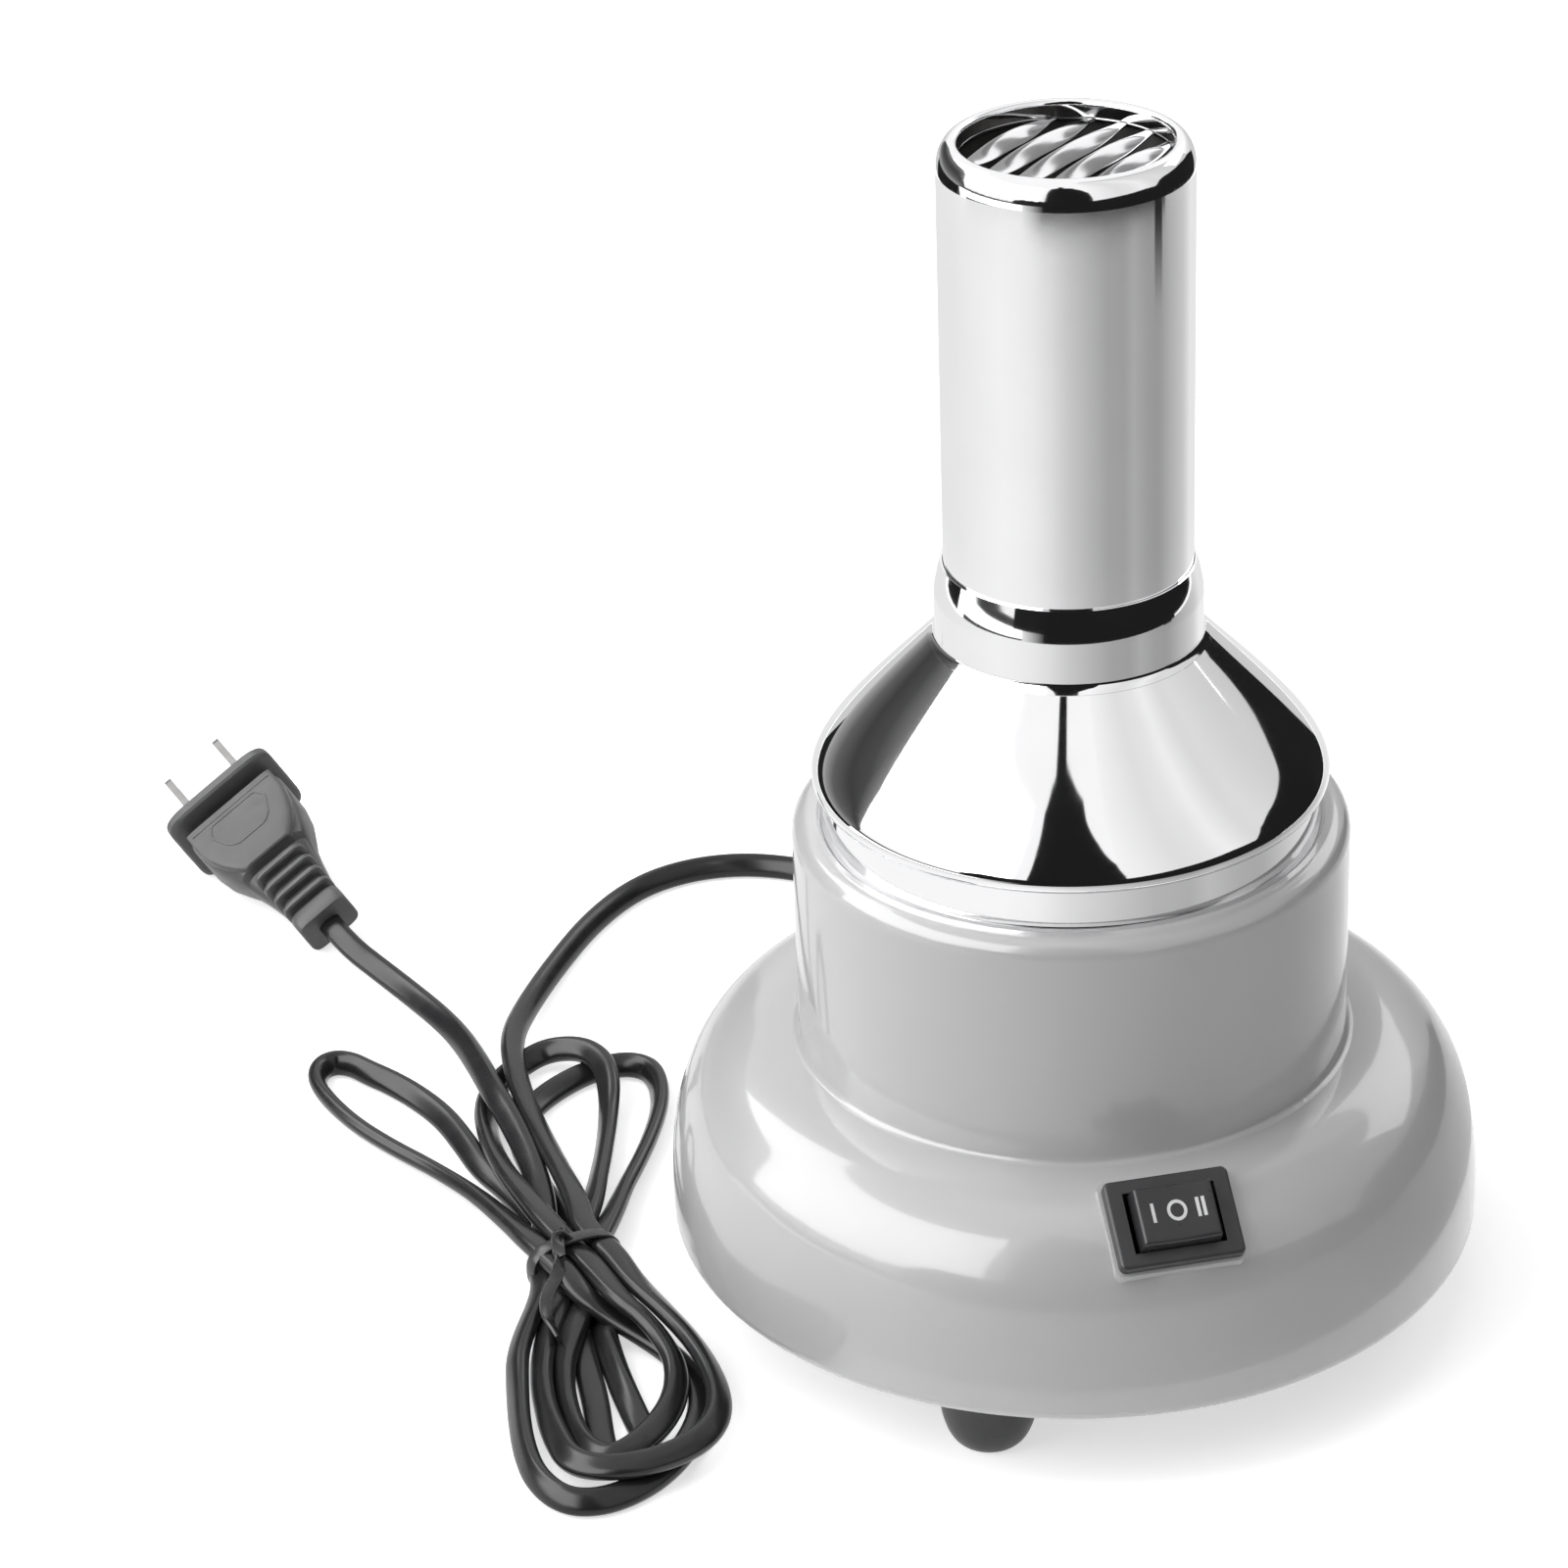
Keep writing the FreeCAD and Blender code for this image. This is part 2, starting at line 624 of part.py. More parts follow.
def save(name, shape):
    if isinstance(shape, list):
        shape = Part.makeCompound(shape)
    shape.exportStep("parts/%s.step" % name)
    print("%-20s solids %d valid %s volume %.1f" % (name, len(shape.Solids), shape.isValid(), shape.Volume))


# ---------------------------------------------------------------- housing
def flare_points(rim, drum, shoulder):
    """The four Bezier points of the skirt's bulge, from its widest height up to the drum."""
    flare = SHOULDER_FULLNESS * (rim - drum)
    rise = SHOULDER_FULLNESS * (shoulder - WIDEST_HEIGHT)
    return [(rim, WIDEST_HEIGHT), (rim, WIDEST_HEIGHT + rise), (drum + flare, shoulder), (drum, shoulder)]


def skirt_flare():
    points = flare_points(SKIRT_RADIUS, DRUM_RADIUS, SHOULDER_HEIGHT)
    points[-1] = (DRUM_RADIUS + SHOULDER_FILLET, SHOULDER_HEIGHT)
    return points


def switch_place():
    """Where the skirt slopes as the switch does, the frame's face stands a little proud of it."""
    curve = bezier(skirt_flare())
    low, high = 0.0, 1.0
    for _ in range(HALVINGS):
        middle = (low + high) / 2
        tangent = curve.tangent(middle)[0]
        slope = math.degrees(math.atan2(tangent.z, -tangent.x))
        if slope > SWITCH_TILT:
            low = middle
        else:
            high = middle
    seat = curve.value(low)
    tilt = FreeCAD.Rotation(X_AXIS, SWITCH_TILT)
    offset = tilt.multVec(V(0, SWITCH_UPHILL, SWITCH_PROUD))
    return FreeCAD.Placement(V(0, -seat.x, seat.z) + offset, tilt)


def on_switch(shape):
    shape.Placement = switch_place()
    return shape


def housing_body():
    rim = SKIRT_RADIUS
    drum = DRUM_RADIUS
    top = DRUM_TOP
    flare = skirt_flare()
    shoulder = SHOULDER_HEIGHT
    fillet_end = (drum, shoulder + SHOULDER_FILLET)
    round_end = (rim, RIM_HEIGHT + RIM_ROUND)
    edges = profile_lines([(0, RIM_HEIGHT), (rim - RIM_ROUND, RIM_HEIGHT)])
    edges.append(profile_round((rim - RIM_ROUND, RIM_HEIGHT), (rim, RIM_HEIGHT), round_end))
    edges += profile_lines([round_end, flare[0]])
    edges.append(profile_bezier(flare))
    edges.append(profile_round(flare[3], (drum, shoulder), fillet_end))
    edges += profile_lines([fillet_end, (drum, top - DRUM_TOP_ROUND)])
    edges.append(profile_round((drum, top - DRUM_TOP_ROUND), (drum, top), (drum - DRUM_TOP_ROUND, top)))
    edges += profile_lines([(drum - DRUM_TOP_ROUND, top), (0, top), (0, RIM_HEIGHT)])
    return turned(edges)


def housing_filling(inset):
    """The filled inside of the housing, drawn in by inset from its outer face."""
    rim = SKIRT_RADIUS - inset
    drum = DRUM_RADIUS - inset
    below = RIM_HEIGHT - SHELL_WALL
    flare = flare_points(rim, drum, SHOULDER_HEIGHT - inset)
    edges = profile_lines([(0, below), (rim, below), flare[0]])
    edges.append(profile_bezier(flare))
    edges += profile_lines([flare[3], (drum, LIP_UNDERSIDE), (0, LIP_UNDERSIDE), (0, below)])
    return turned(edges)


def lip_hole():
    below = LIP_UNDERSIDE - SHELL_WALL
    above = DRUM_TOP + LIP_CHAMFER
    return turned(profile_lines([
        (0, below),
        (LIP_RADIUS, below),
        (LIP_RADIUS, DRUM_TOP - LIP_CHAMFER),
        (LIP_RADIUS + 2 * LIP_CHAMFER, above),
        (0, above),
        (0, below),
    ]))


def foot_places():
    return [on_circle(FOOT_CIRCLE, a) for a in azimuths(FOOT_COUNT, FOOT_AZIMUTH)]


def lug_places():
    return [on_circle(LUG_CIRCLE, a) for a in azimuths(LUG_COUNT, LUG_AZIMUTH)]


def switch_plinth():
    half_length = BEZEL_LENGTH / 2 + PLINTH_MARGIN
    half_width = BEZEL_WIDTH / 2 + PLINTH_MARGIN
    z_range = (-BEZEL_THICKNESS - PLINTH_DEPTH, -BEZEL_THICKNESS)
    plinth = block(around(half_length), around(half_width), z_range)
    return on_switch(plinth.makeFillet(PLINTH_ROUND, vertical_edges(plinth)))


def switch_cutout():
    half_length = SWITCH_BODY_LENGTH / 2 + SLIP
    half_width = SWITCH_BODY_WIDTH / 2 + SLIP
    return on_switch(block(around(half_length), around(half_width), (SWITCH_BODY_BOTTOM, 0)))


def foot_screw_reach():
    return FOOT_HEIGHT - FOOT_COUNTERBORE_DEPTH + BASE_THICKNESS + FOOT_SCREW_GRIP


def foot_boss(place):
    boss = cylinder(FOOT_BOSS_RADIUS, BASE_TOP, DRUM_TOP, place.x, place.y)
    return boss.common(housing_filling(SHELL_WALL / 2))


def entry_cylinder(radius):
    return Part.makeCylinder(radius, PAD_DEPTH, V(0, PAD_INSIDE, CORD_ENTRY_HEIGHT), Y_AXIS)


def make_housing_shell():
    shell = housing_body().cut(housing_filling(SHELL_WALL)).cut(lip_hole())
    foot_bosses = [foot_boss(place) for place in foot_places()]
    boss_top = LUG_TOP + SHELL_BOSS_HEIGHT
    lug_bosses = [cylinder(SHELL_BOSS_RADIUS, LUG_TOP, boss_top, p.x, p.y) for p in lug_places()]
    shell = fused([shell, switch_plinth(), entry_cylinder(PAD_RADIUS)] + foot_bosses + lug_bosses)
    shell = shell.cut(switch_cutout()).cut(entry_cylinder(GLAND_NECK_RADIUS + SLIP))
    foot_hole_top = FOOT_COUNTERBORE_DEPTH + foot_screw_reach() + SCREW_HOLE_SPARE
    shell = drilled(shell, foot_places(), FOOT_SCREW_RADIUS + SLIP, BASE_TOP, foot_hole_top)
    lug_hole_top = BRACKET_BOTTOM + BRACKET_SCREW_REACH + SCREW_HOLE_SPARE
    return drilled(shell, lug_places(), BRACKET_SCREW_RADIUS + SLIP, LUG_TOP, lug_hole_top)


# ---------------------------------------------------------------- base
def clamp_saddle():
    y_range = around(CLAMP_WIDTH / 2, CLAMP_Y)
    saddle = block(around(CLAMP_LENGTH / 2), y_range, (BASE_TOP, CORD_TOP))
    groove = block(around(CORD_RADIUS + LOOSE), y_range, (CORD_ENTRY_HEIGHT - CORD_RADIUS, CORD_TOP))
    return saddle.cut(groove)


def clamp_screw_places():
    return [V(side * CLAMP_SCREW_SPACING / 2, CLAMP_Y, 0) for side in (-1, 1)]


def board_screw_places():
    return [V(BOARD_X, side * BOARD_SCREW_SPACING / 2, 0) for side in (-1, 1)]


def intake_slot(azimuth):
    slot = block(around(INTAKE_WIDTH / 2), (-INTAKE_OUTER, -INTAKE_INNER), (BASE_BOTTOM, BASE_TOP))
    return spun(slot, azimuth)


def make_base_plate():
    plate = cylinder(BASE_RADIUS, BASE_BOTTOM, BASE_TOP)
    half_step = 180.0 / INTAKE_SLOTS
    for azimuth in azimuths(INTAKE_SLOTS, half_step):
        plate = plate.cut(intake_slot(azimuth))
    posts = [cylinder(BOARD_POST_RADIUS, BASE_TOP, BOARD_BOTTOM, p.x, p.y) for p in board_screw_places()]
    plate = fused([plate, clamp_saddle()] + posts)
    plate = drilled(plate, foot_places(), FOOT_SCREW_RADIUS + SCREW_PLAY, BASE_BOTTOM, BASE_TOP)
    clamp_hole_bottom = CORD_TOP - CLAMP_SCREW_REACH
    plate = drilled(plate, clamp_screw_places(), CLAMP_SCREW_RADIUS + SLIP, clamp_hole_bottom, CORD_TOP)
    board_hole_bottom = BOARD_TOP - BOARD_SCREW_REACH
    return drilled(plate, board_screw_places(), BOARD_SCREW_RADIUS + SLIP, board_hole_bottom, BOARD_BOTTOM)


def make_foot(place):
    shoulder = FOOT_HEIGHT - FOOT_STRAIGHT
    edges = profile_lines([(0, 0), (FOOT_CONTACT_RADIUS, 0)])
    edges.append(profile_round((FOOT_CONTACT_RADIUS, 0), (FOOT_RADIUS, 0), (FOOT_RADIUS, shoulder)))
    edges += profile_lines([(FOOT_RADIUS, shoulder), (FOOT_RADIUS, FOOT_HEIGHT), (0, FOOT_HEIGHT), (0, 0)])
    foot = turned(edges)
    foot = foot.cut(cylinder(FOOT_SCREW_HEAD_RADIUS + FOOT_COUNTERBORE_PLAY, 0, FOOT_COUNTERBORE_DEPTH))
    foot = foot.cut(cylinder(FOOT_SCREW_RADIUS + SCREW_PLAY, 0, FOOT_HEIGHT))
    foot.translate(place)
    return foot


def make_foot_screw(place):
    return screw(place, FOOT_COUNTERBORE_DEPTH, foot_screw_reach(), FOOT_SCREW_RADIUS,
                 FOOT_SCREW_HEAD_RADIUS, FOOT_SCREW_HEAD, DOWN)


# ---------------------------------------------------------------- dome, collar, nozzle, grille
def make_chrome_dome():
    high = DOME_BULGE_HIGH
    low = DOME_BULGE_LOW
    crease = DOME_CREASE_RADIUS
    outer = [
        (DOME_TOP_RADIUS, DOME_TOP),
        (DOME_TOP_RADIUS + high[0], DOME_TOP - high[1]),
        (crease + low[0], DOME_CREASE + low[1]),
        (crease, DOME_CREASE),
    ]
    slant = SHEET / math.sqrt(2)
    inner = [
        (crease - SHEET, DOME_CREASE + SHEET),
        (outer[2][0] - 2 * SHEET, outer[2][1] + SHEET),
        (outer[1][0] - slant, outer[1][1] - slant),
        (DOME_TOP_RADIUS - slant, DOME_INSIDE_TOP),
    ]
    edges = [profile_bezier(outer)]
    edges += profile_lines([
        outer[3],
        (crease, LIP_UNDERSIDE),
        (DOME_FLANGE_RADIUS, LIP_UNDERSIDE),
        (DOME_FLANGE_RADIUS, DOME_FLANGE_BOTTOM),
        (crease - SHEET, DOME_FLANGE_BOTTOM),
        inner[0],
    ])
    edges.append(profile_bezier(inner))
    edges += profile_lines([inner[3], (COLLAR_BORE, DOME_INSIDE_TOP), (COLLAR_BORE, DOME_TOP), outer[0]])
    return turned(edges)


def make_collar_ring():
    """A straight band that tapers to a thin edge against the nozzle."""
    band_top = DOME_TOP + COLLAR_HEIGHT
    taper_top = band_top + COLLAR_TAPER
    return turned(profile_lines([
        (COLLAR_BORE, DOME_TOP),
        (COLLAR_RADIUS, DOME_TOP),
        (COLLAR_RADIUS, band_top),
        (COLLAR_BORE + COLLAR_EDGE, taper_top),
        (COLLAR_BORE, taper_top),
        (COLLAR_BORE, DOME_TOP),
    ]))


def make_nozzle_tube():
    crown = NOZZLE_RADIUS - NOZZLE_ROUND_WIDTH
    wall_top = NOZZLE_TOP - NOZZLE_ROUND_HEIGHT
    curl_end = (OUTLET_RADIUS, NOZZLE_TOP - (crown - OUTLET_RADIUS))
    inner_crown = (crown, NOZZLE_TOP - SHEET)
    inner_wall = (NOZZLE_BORE, wall_top)
    edges = profile_lines([
        (NOZZLE_BORE, NOZZLE_BOTTOM),
        (NOZZLE_FLANGE_RADIUS, NOZZLE_BOTTOM),
        (NOZZLE_FLANGE_RADIUS, DOME_INSIDE_TOP),
        (NOZZLE_RADIUS, DOME_INSIDE_TOP),
        (NOZZLE_RADIUS, wall_top),
    ])
    edges.append(profile_round((NOZZLE_RADIUS, wall_top), (NOZZLE_RADIUS, NOZZLE_TOP), (crown, NOZZLE_TOP)))
    edges.append(profile_round((crown, NOZZLE_TOP), (OUTLET_RADIUS, NOZZLE_TOP), curl_end))
    edges += profile_lines([curl_end, (OUTLET_RADIUS, GRILLE_TOP), (crown, GRILLE_TOP), inner_crown])
    edges.append(profile_round(inner_crown, (NOZZLE_BORE, NOZZLE_TOP - SHEET), inner_wall))
    edges += profile_lines([inner_wall, (NOZZLE_BORE, NOZZLE_BOTTOM)])
    return turned(edges)


def grille_strip_section(along, offset, reach):
    """One cross-section of a twisted strip, flat at its ends and turned most in its middle."""
    centre = V(along, offset, (GRILLE_TOP + GRILLE_BOTTOM) / 2)
    free = max(0.0, 1.0 - abs(along) / (reach - 2 * GRILLE_ROOT))
    swell = math.sin(math.pi / 2 * free)
    twist = math.radians(GRILLE_TWIST) * swell
    half_width = (GRILLE_STRIP_NECK + (GRILLE_STRIP_WIDTH - GRILLE_STRIP_NECK) * swell) / 2
    half_thickness = GRILLE_STRIP_THICKNESS / 2
    across = V(0, math.cos(twist), math.sin(twist)) * half_width
    through = V(0, -math.sin(twist), math.cos(twist)) * half_thickness
    corners = [centre + across * a + through * t for a, t in ((-1, -1), (1, -1), (1, 1), (-1, 1))]
    return Part.makePolygon(corners + [corners[0]])


def grille_strip(offset):
    reach = math.sqrt(OUTLET_RADIUS ** 2 - offset ** 2) + GRILLE_ROOT
    last = GRILLE_SECTIONS - 1
    places = [reach * (2.0 * i / last - 1.0) for i in range(GRILLE_SECTIONS)]
    return Part.makeLoft([grille_strip_section(s, offset, reach) for s in places], True, False)


def make_outlet_grille():
    middle = (GRILLE_STRIPS - 1) / 2
    grille = ring(OUTLET_RADIUS + GRILLE_RING_WIDTH, OUTLET_RADIUS, GRILLE_BOTTOM, GRILLE_TOP)
    for i in range(GRILLE_STRIPS):
        grille = grille.fuse(grille_strip((i - middle) * GRILLE_PITCH))
    return spun(grille, GRILLE_HEADING)


# ---------------------------------------------------------------- heater
def make_heat_shield():
    return ring(SHIELD_RADIUS, SHIELD_BORE, NOZZLE_BOTTOM, GRILLE_BOTTOM)


def make_heater_carrier():
    rim = ring(NOZZLE_FLANGE_RADIUS, CARRIER_BORE, CARRIER_BOTTOM, NOZZLE_BOTTOM)
    half = CARRIER_ARM / 2
    reach = (CARRIER_BORE + NOZZLE_FLANGE_RADIUS) / 2
    arm_x = block(around(reach), around(half), (CARRIER_BOTTOM, NOZZLE_BOTTOM))
    arm_y = block(around(half), around(reach), (CARRIER_BOTTOM, NOZZLE_BOTTOM))
    return fused([rim, arm_x, arm_y])


def coil_notches():
    """Notches in the four edges of the mica cross, one wherever the coil crosses an edge."""
    half_gap = COIL_WIRE + NOTCH_PLAY
    notches = []
    for quarter in range(4 * COIL_TURNS + 1):
        height = COIL_BOTTOM + COIL_PITCH * quarter / 4.0
        x_range = (COIL_RADIUS - half_gap, NOZZLE_BORE)
        notch = block(x_range, around(2 * MICA_THICKNESS), around(half_gap, height))
        notches.append(spun(notch, 90 * quarter))
    return notches


def make_mica_former():
    half = MICA_THICKNESS / 2
    plate_x = block(around(MICA_RADIUS), around(half), (NOZZLE_BOTTOM, MICA_TOP))
    plate_y = block(around(half), around(MICA_RADIUS), (NOZZLE_BOTTOM, MICA_TOP))
    return fused([plate_x, plate_y]).cut(Part.makeCompound(coil_notches()))


def coil_corner(i):
    """The wire runs nearly straight between its corners and crosses the mica edges midway."""
    turn = (i - 0.5) / COIL_SIDES
    angle = 2 * math.pi * turn
    reach = COIL_RADIUS / math.cos(math.pi / COIL_SIDES)
    return V(reach * math.cos(angle), reach * math.sin(angle), COIL_BOTTOM + COIL_PITCH * turn)


def make_heater_coil():
    return tube([coil_corner(i) for i in range(COIL_SIDES * COIL_TURNS + 2)], COIL_WIRE)


def make_thermal_cutout():
    face = MICA_THICKNESS / 2
    low = NOZZLE_BOTTOM + CUTOUT_LIFT
    x_range = (CUTOUT_OFFSET, CUTOUT_OFFSET + CUTOUT_LENGTH)
    return block(x_range, (face, face + CUTOUT_DEPTH), (low, low + CUTOUT_HEIGHT))


def thermal_fuse_place():
    return V(CUTOUT_OFFSET + CUTOUT_LENGTH / 2, -MICA_THICKNESS / 2 - FUSE_RADIUS, 0)


def make_thermal_fuse():
    place = thermal_fuse_place()
    low = NOZZLE_BOTTOM + CUTOUT_LIFT
    return cylinder(FUSE_RADIUS, low, low + FUSE_LENGTH, place.x, place.y)


# ---------------------------------------------------------------- fan and motor mounting
def lead_hole_places():
    return [V(LEAD_HOLE_CIRCLE, side * LEAD_HOLE_SPREAD, 0) for side in (-1, 1)]


def spokes(inner, bottom, top):
    """One flat arm towards each lug, ending on the round that the dome's flange has."""
    keep = ring(DOME_FLANGE_RADIUS, inner, bottom, top)
    arm = block(around(LUG_WIDTH / 2), (-DOME_FLANGE_RADIUS, 0), (bottom, top))
    return [spun(arm.copy(), azimuth).common(keep) for azimuth in azimuths(LUG_COUNT, LUG_AZIMUTH)]


def make_fan_shroud():
    sleeve = ring(SHROUD_RADIUS, SHROUD_BORE, SHROUD_BOTTOM, DECK_TOP)
    deck = ring(DOME_FLANGE_RADIUS, SHROUD_BORE, DECK_BOTTOM, DECK_TOP)
    rim = ring(DOME_FLANGE_RADIUS, SHROUD_RIM_BORE, DECK_BOTTOM, DOME_FLANGE_BOTTOM)
    shroud = fused([sleeve, deck, rim] + spokes(SHROUD_BORE, SHROUD_BOTTOM, LUG_TOP))
    shroud = drilled(shroud, lug_places(), BRACKET_SCREW_RADIUS + SCREW_PLAY, SHROUD_BOTTOM, LUG_TOP)
    return drilled(shroud, lead_hole_places(), LEAD_HOLE_RADIUS, DECK_BOTTOM, DECK_TOP)


def motor_screw_places():
    return [V(0, side * MOTOR_SCREW_CIRCLE, 0) for side in (-1, 1)]


def make_motor_bracket():
    low = BRACKET_BOTTOM
    high = SHROUD_BOTTOM
    hole = BEARING_RADIUS + SCREW_PLAY
    bracket = fused([ring(BRACKET_HUB_RADIUS, hole, low, high)] + spokes(hole, low, high))
    bracket = drilled(bracket, lug_places(), BRACKET_SCREW_RADIUS + SCREW_PLAY, low, high)
    return drilled(bracket, motor_screw_places(), MOTOR_SCREW_RADIUS + SCREW_PLAY, low, high)


def make_bracket_screw(place):
    return screw(place, BRACKET_BOTTOM, BRACKET_SCREW_REACH, BRACKET_SCREW_RADIUS,
                 BRACKET_SCREW_HEAD_RADIUS, BRACKET_SCREW_HEAD, DOWN)


def make_motor_screw(place):
    return screw(place, SHROUD_BOTTOM, BRACKET_THICKNESS + MOTOR_FACE, MOTOR_SCREW_RADIUS,
                 MOTOR_SCREW_HEAD_RADIUS, MOTOR_SCREW_HEAD, UP)


# ---------------------------------------------------------------- motor
def make_motor_can():
    can = ring(MOTOR_RADIUS, BEARING_RADIUS + SLIP, MOTOR_BOTTOM, MOTOR_TOP)
    can = can.cut(cylinder(MOTOR_BORE, MOTOR_BOTTOM, MOTOR_TOP - MOTOR_FACE))
    return drilled(can, motor_screw_places(), MOTOR_SCREW_RADIUS + SLIP, MOTOR_TOP - MOTOR_FACE, MOTOR_TOP)


def make_motor_end_cap():
    hole = BEARING_RADIUS + SLIP
    flange = ring(MOTOR_RADIUS, hole, END_CAP_BOTTOM, MOTOR_BOTTOM)
    spigot = ring(MOTOR_BORE - SLIP, hole, MOTOR_BOTTOM, SPIGOT_TOP)
    return fused([flange, spigot])


def make_bearing(bottom):
    return ring(BEARING_RADIUS, SHAFT_RADIUS + SHAFT_PLAY, bottom, bottom + BEARING_LENGTH)


def make_magnet(azimuth):
    outer = MOTOR_BORE - SLIP
    inner = outer - MAGNET_THICKNESS
    low, high = around(MAGNET_LENGTH / 2, MAGNET_MIDDLE)
    section = Part.Face(Part.Wire(profile_lines([
        (inner, low),
        (outer, low),
        (outer, high),
        (inner, high),
        (inner, low),
    ])))
    magnet = section.revolve(V(0, 0, 0), Z_AXIS, MAGNET_ANGLE)
    return spun(magnet, azimuth - MAGNET_ANGLE / 2)


def make_armature_core():
    core = ring(CORE_RADIUS, SHAFT_RADIUS, CORE_BOTTOM, CORE_TOP)
    for azimuth in azimuths(CORE_SLOTS, 0):
        slot = block(around(CORE_SLOT_WIDTH / 2), (-MOTOR_BORE, -CORE_RADIUS / 2), (CORE_BOTTOM, CORE_TOP))
        core = core.cut(spun(slot, azimuth))
    return core


def make_winding_ends():
    outer = CORE_RADIUS - WINDING_STEP
    inner = COMMUTATOR_RADIUS
    below = ring(outer, inner, CORE_BOTTOM - WINDING_DEPTH, CORE_BOTTOM)
    above = ring(outer, inner, CORE_TOP, CORE_TOP + WINDING_DEPTH)
    return [below, above]


def make_commutator():
    return ring(COMMUTATOR_RADIUS, SHAFT_RADIUS, COMMUTATOR_BOTTOM, COMMUTATOR_BOTTOM + COMMUTATOR_LENGTH)


def make_brush(side):
    near = COMMUTATOR_RADIUS + BRUSH_GAP
    x_range = sorted([side * near, side * (near + BRUSH_LENGTH)])
    return block(x_range, around(BRUSH_WIDTH / 2), (SPIGOT_TOP, COMMUTATOR_BOTTOM + BRUSH_WIDTH))


def make_motor_shaft():
    return cylinder(SHAFT_RADIUS, END_CAP_BOTTOM - SHAFT_TAIL, FAN_TOP)


def fan_blade(azimuth):
    reach = (FAN_HUB_RADIUS / 2, SHROUD_RADIUS)
    blade = block(reach, around(FAN_BLADE_CHORD / 2), around(FAN_BLADE_THICKNESS / 2))
    blade.rotate(V(0, 0, 0), X_AXIS, FAN_BLADE_PITCH)
    blade.translate(V(0, 0, (FAN_BOTTOM + FAN_TOP) / 2))
    return spun(blade, azimuth).common(ring(FAN_RADIUS, SHAFT_RADIUS, FAN_BOTTOM, FAN_TOP))


def make_fan_impeller():
    hub = cylinder(FAN_HUB_RADIUS, FAN_BOTTOM, FAN_TOP)
    hub = hub.makeFillet(FAN_HUB_ROUND, flat_edges_at(hub, FAN_TOP))
    fan = hub.cut(cylinder(SHAFT_RADIUS, FAN_BOTTOM, FAN_TOP))
    return fan.multiFuse([fan_blade(a) for a in azimuths(FAN_BLADES, 0)])


# ---------------------------------------------------------------- switch
def pivot_pin(radius, half_length):
    return Part.makeCylinder(radius, 2 * half_length, V(0, -half_length, -PIVOT_DEPTH), Y_AXIS)


def terminal_blade(x):
    low = SWITCH_BODY_BOTTOM - TERMINAL_LENGTH
    return block(around(TERMINAL_THICKNESS / 2, x), around(TERMINAL_WIDTH / 2), (low, -ROCKER_CAVITY_DEPTH))


def terminal_offsets():
    return [step * TERMINAL_PITCH for step in (-1, 0, 1)]


def make_switch_frame():
    bezel = block(around(BEZEL_LENGTH / 2), around(BEZEL_WIDTH / 2), (-BEZEL_THICKNESS, 0))
    bezel = bezel.makeFillet(BEZEL_ROUND, vertical_edges(bezel))
    bezel = bezel.makeFillet(BEZEL_EDGE, flat_edges_at(bezel, 0))
    half_length = SWITCH_BODY_LENGTH / 2
    half_width = SWITCH_BODY_WIDTH / 2
    body = block(around(half_length), around(half_width), (SWITCH_BODY_BOTTOM, -BEZEL_THICKNESS))
    opening_length = ROCKER_OPENING_LENGTH / 2
    opening_width = ROCKER_OPENING_WIDTH / 2
    cavity = block(around(opening_length), around(opening_width), (-ROCKER_CAVITY_DEPTH, 0))
    frame = fused([bezel, body]).cut(cavity)
    frame = frame.cut(pivot_pin(PIVOT_RADIUS + PIVOT_PLAY, ROCKER_WIDTH / 2 + PIVOT_REACH + PIVOT_PLAY))
    for x in terminal_offsets():
        frame = frame.cut(terminal_blade(x))
    return on_switch(frame)


def make_switch_rocker():
    top = ROCKER_TOP_LENGTH / 2
    foot = ROCKER_FOOT_LENGTH / 2
    side = -ROCKER_WIDTH / 2
    outline = [
        V(top, side, ROCKER_RISE),
        V(foot, side, -ROCKER_SHOULDER),
        V(foot, side, -ROCKER_SKIRT),
        V(-foot, side, -ROCKER_SKIRT),
        V(-foot, side, -ROCKER_SHOULDER),
        V(-top, side, ROCKER_RISE),
    ]
    dish = Part.Arc(outline[-1], V(0, side, ROCKER_RISE - ROCKER_DISH), outline[0]).toShape()
    sides = [Part.LineSegment(a, b).toShape() for a, b in zip(outline, outline[1:])]
    cap = Part.Face(Part.Wire([dish] + sides)).extrude(V(0, ROCKER_WIDTH, 0))
    upper = [e for e in cap.Edges if e.BoundBox.ZMin > ROCKER_RISE - 2 * ROCKER_DISH]
    cap = cap.makeFillet(ROCKER_EDGE, upper)
    stem = block(around(STEM_LENGTH / 2), around(STEM_WIDTH / 2), (-STEM_DEPTH, -ROCKER_SKIRT))
    return on_switch(fused([cap, stem, pivot_pin(PIVOT_RADIUS, ROCKER_WIDTH / 2 + PIVOT_REACH)]))


def make_switch_terminals():
    return [on_switch(terminal_blade(x)) for x in terminal_offsets()]


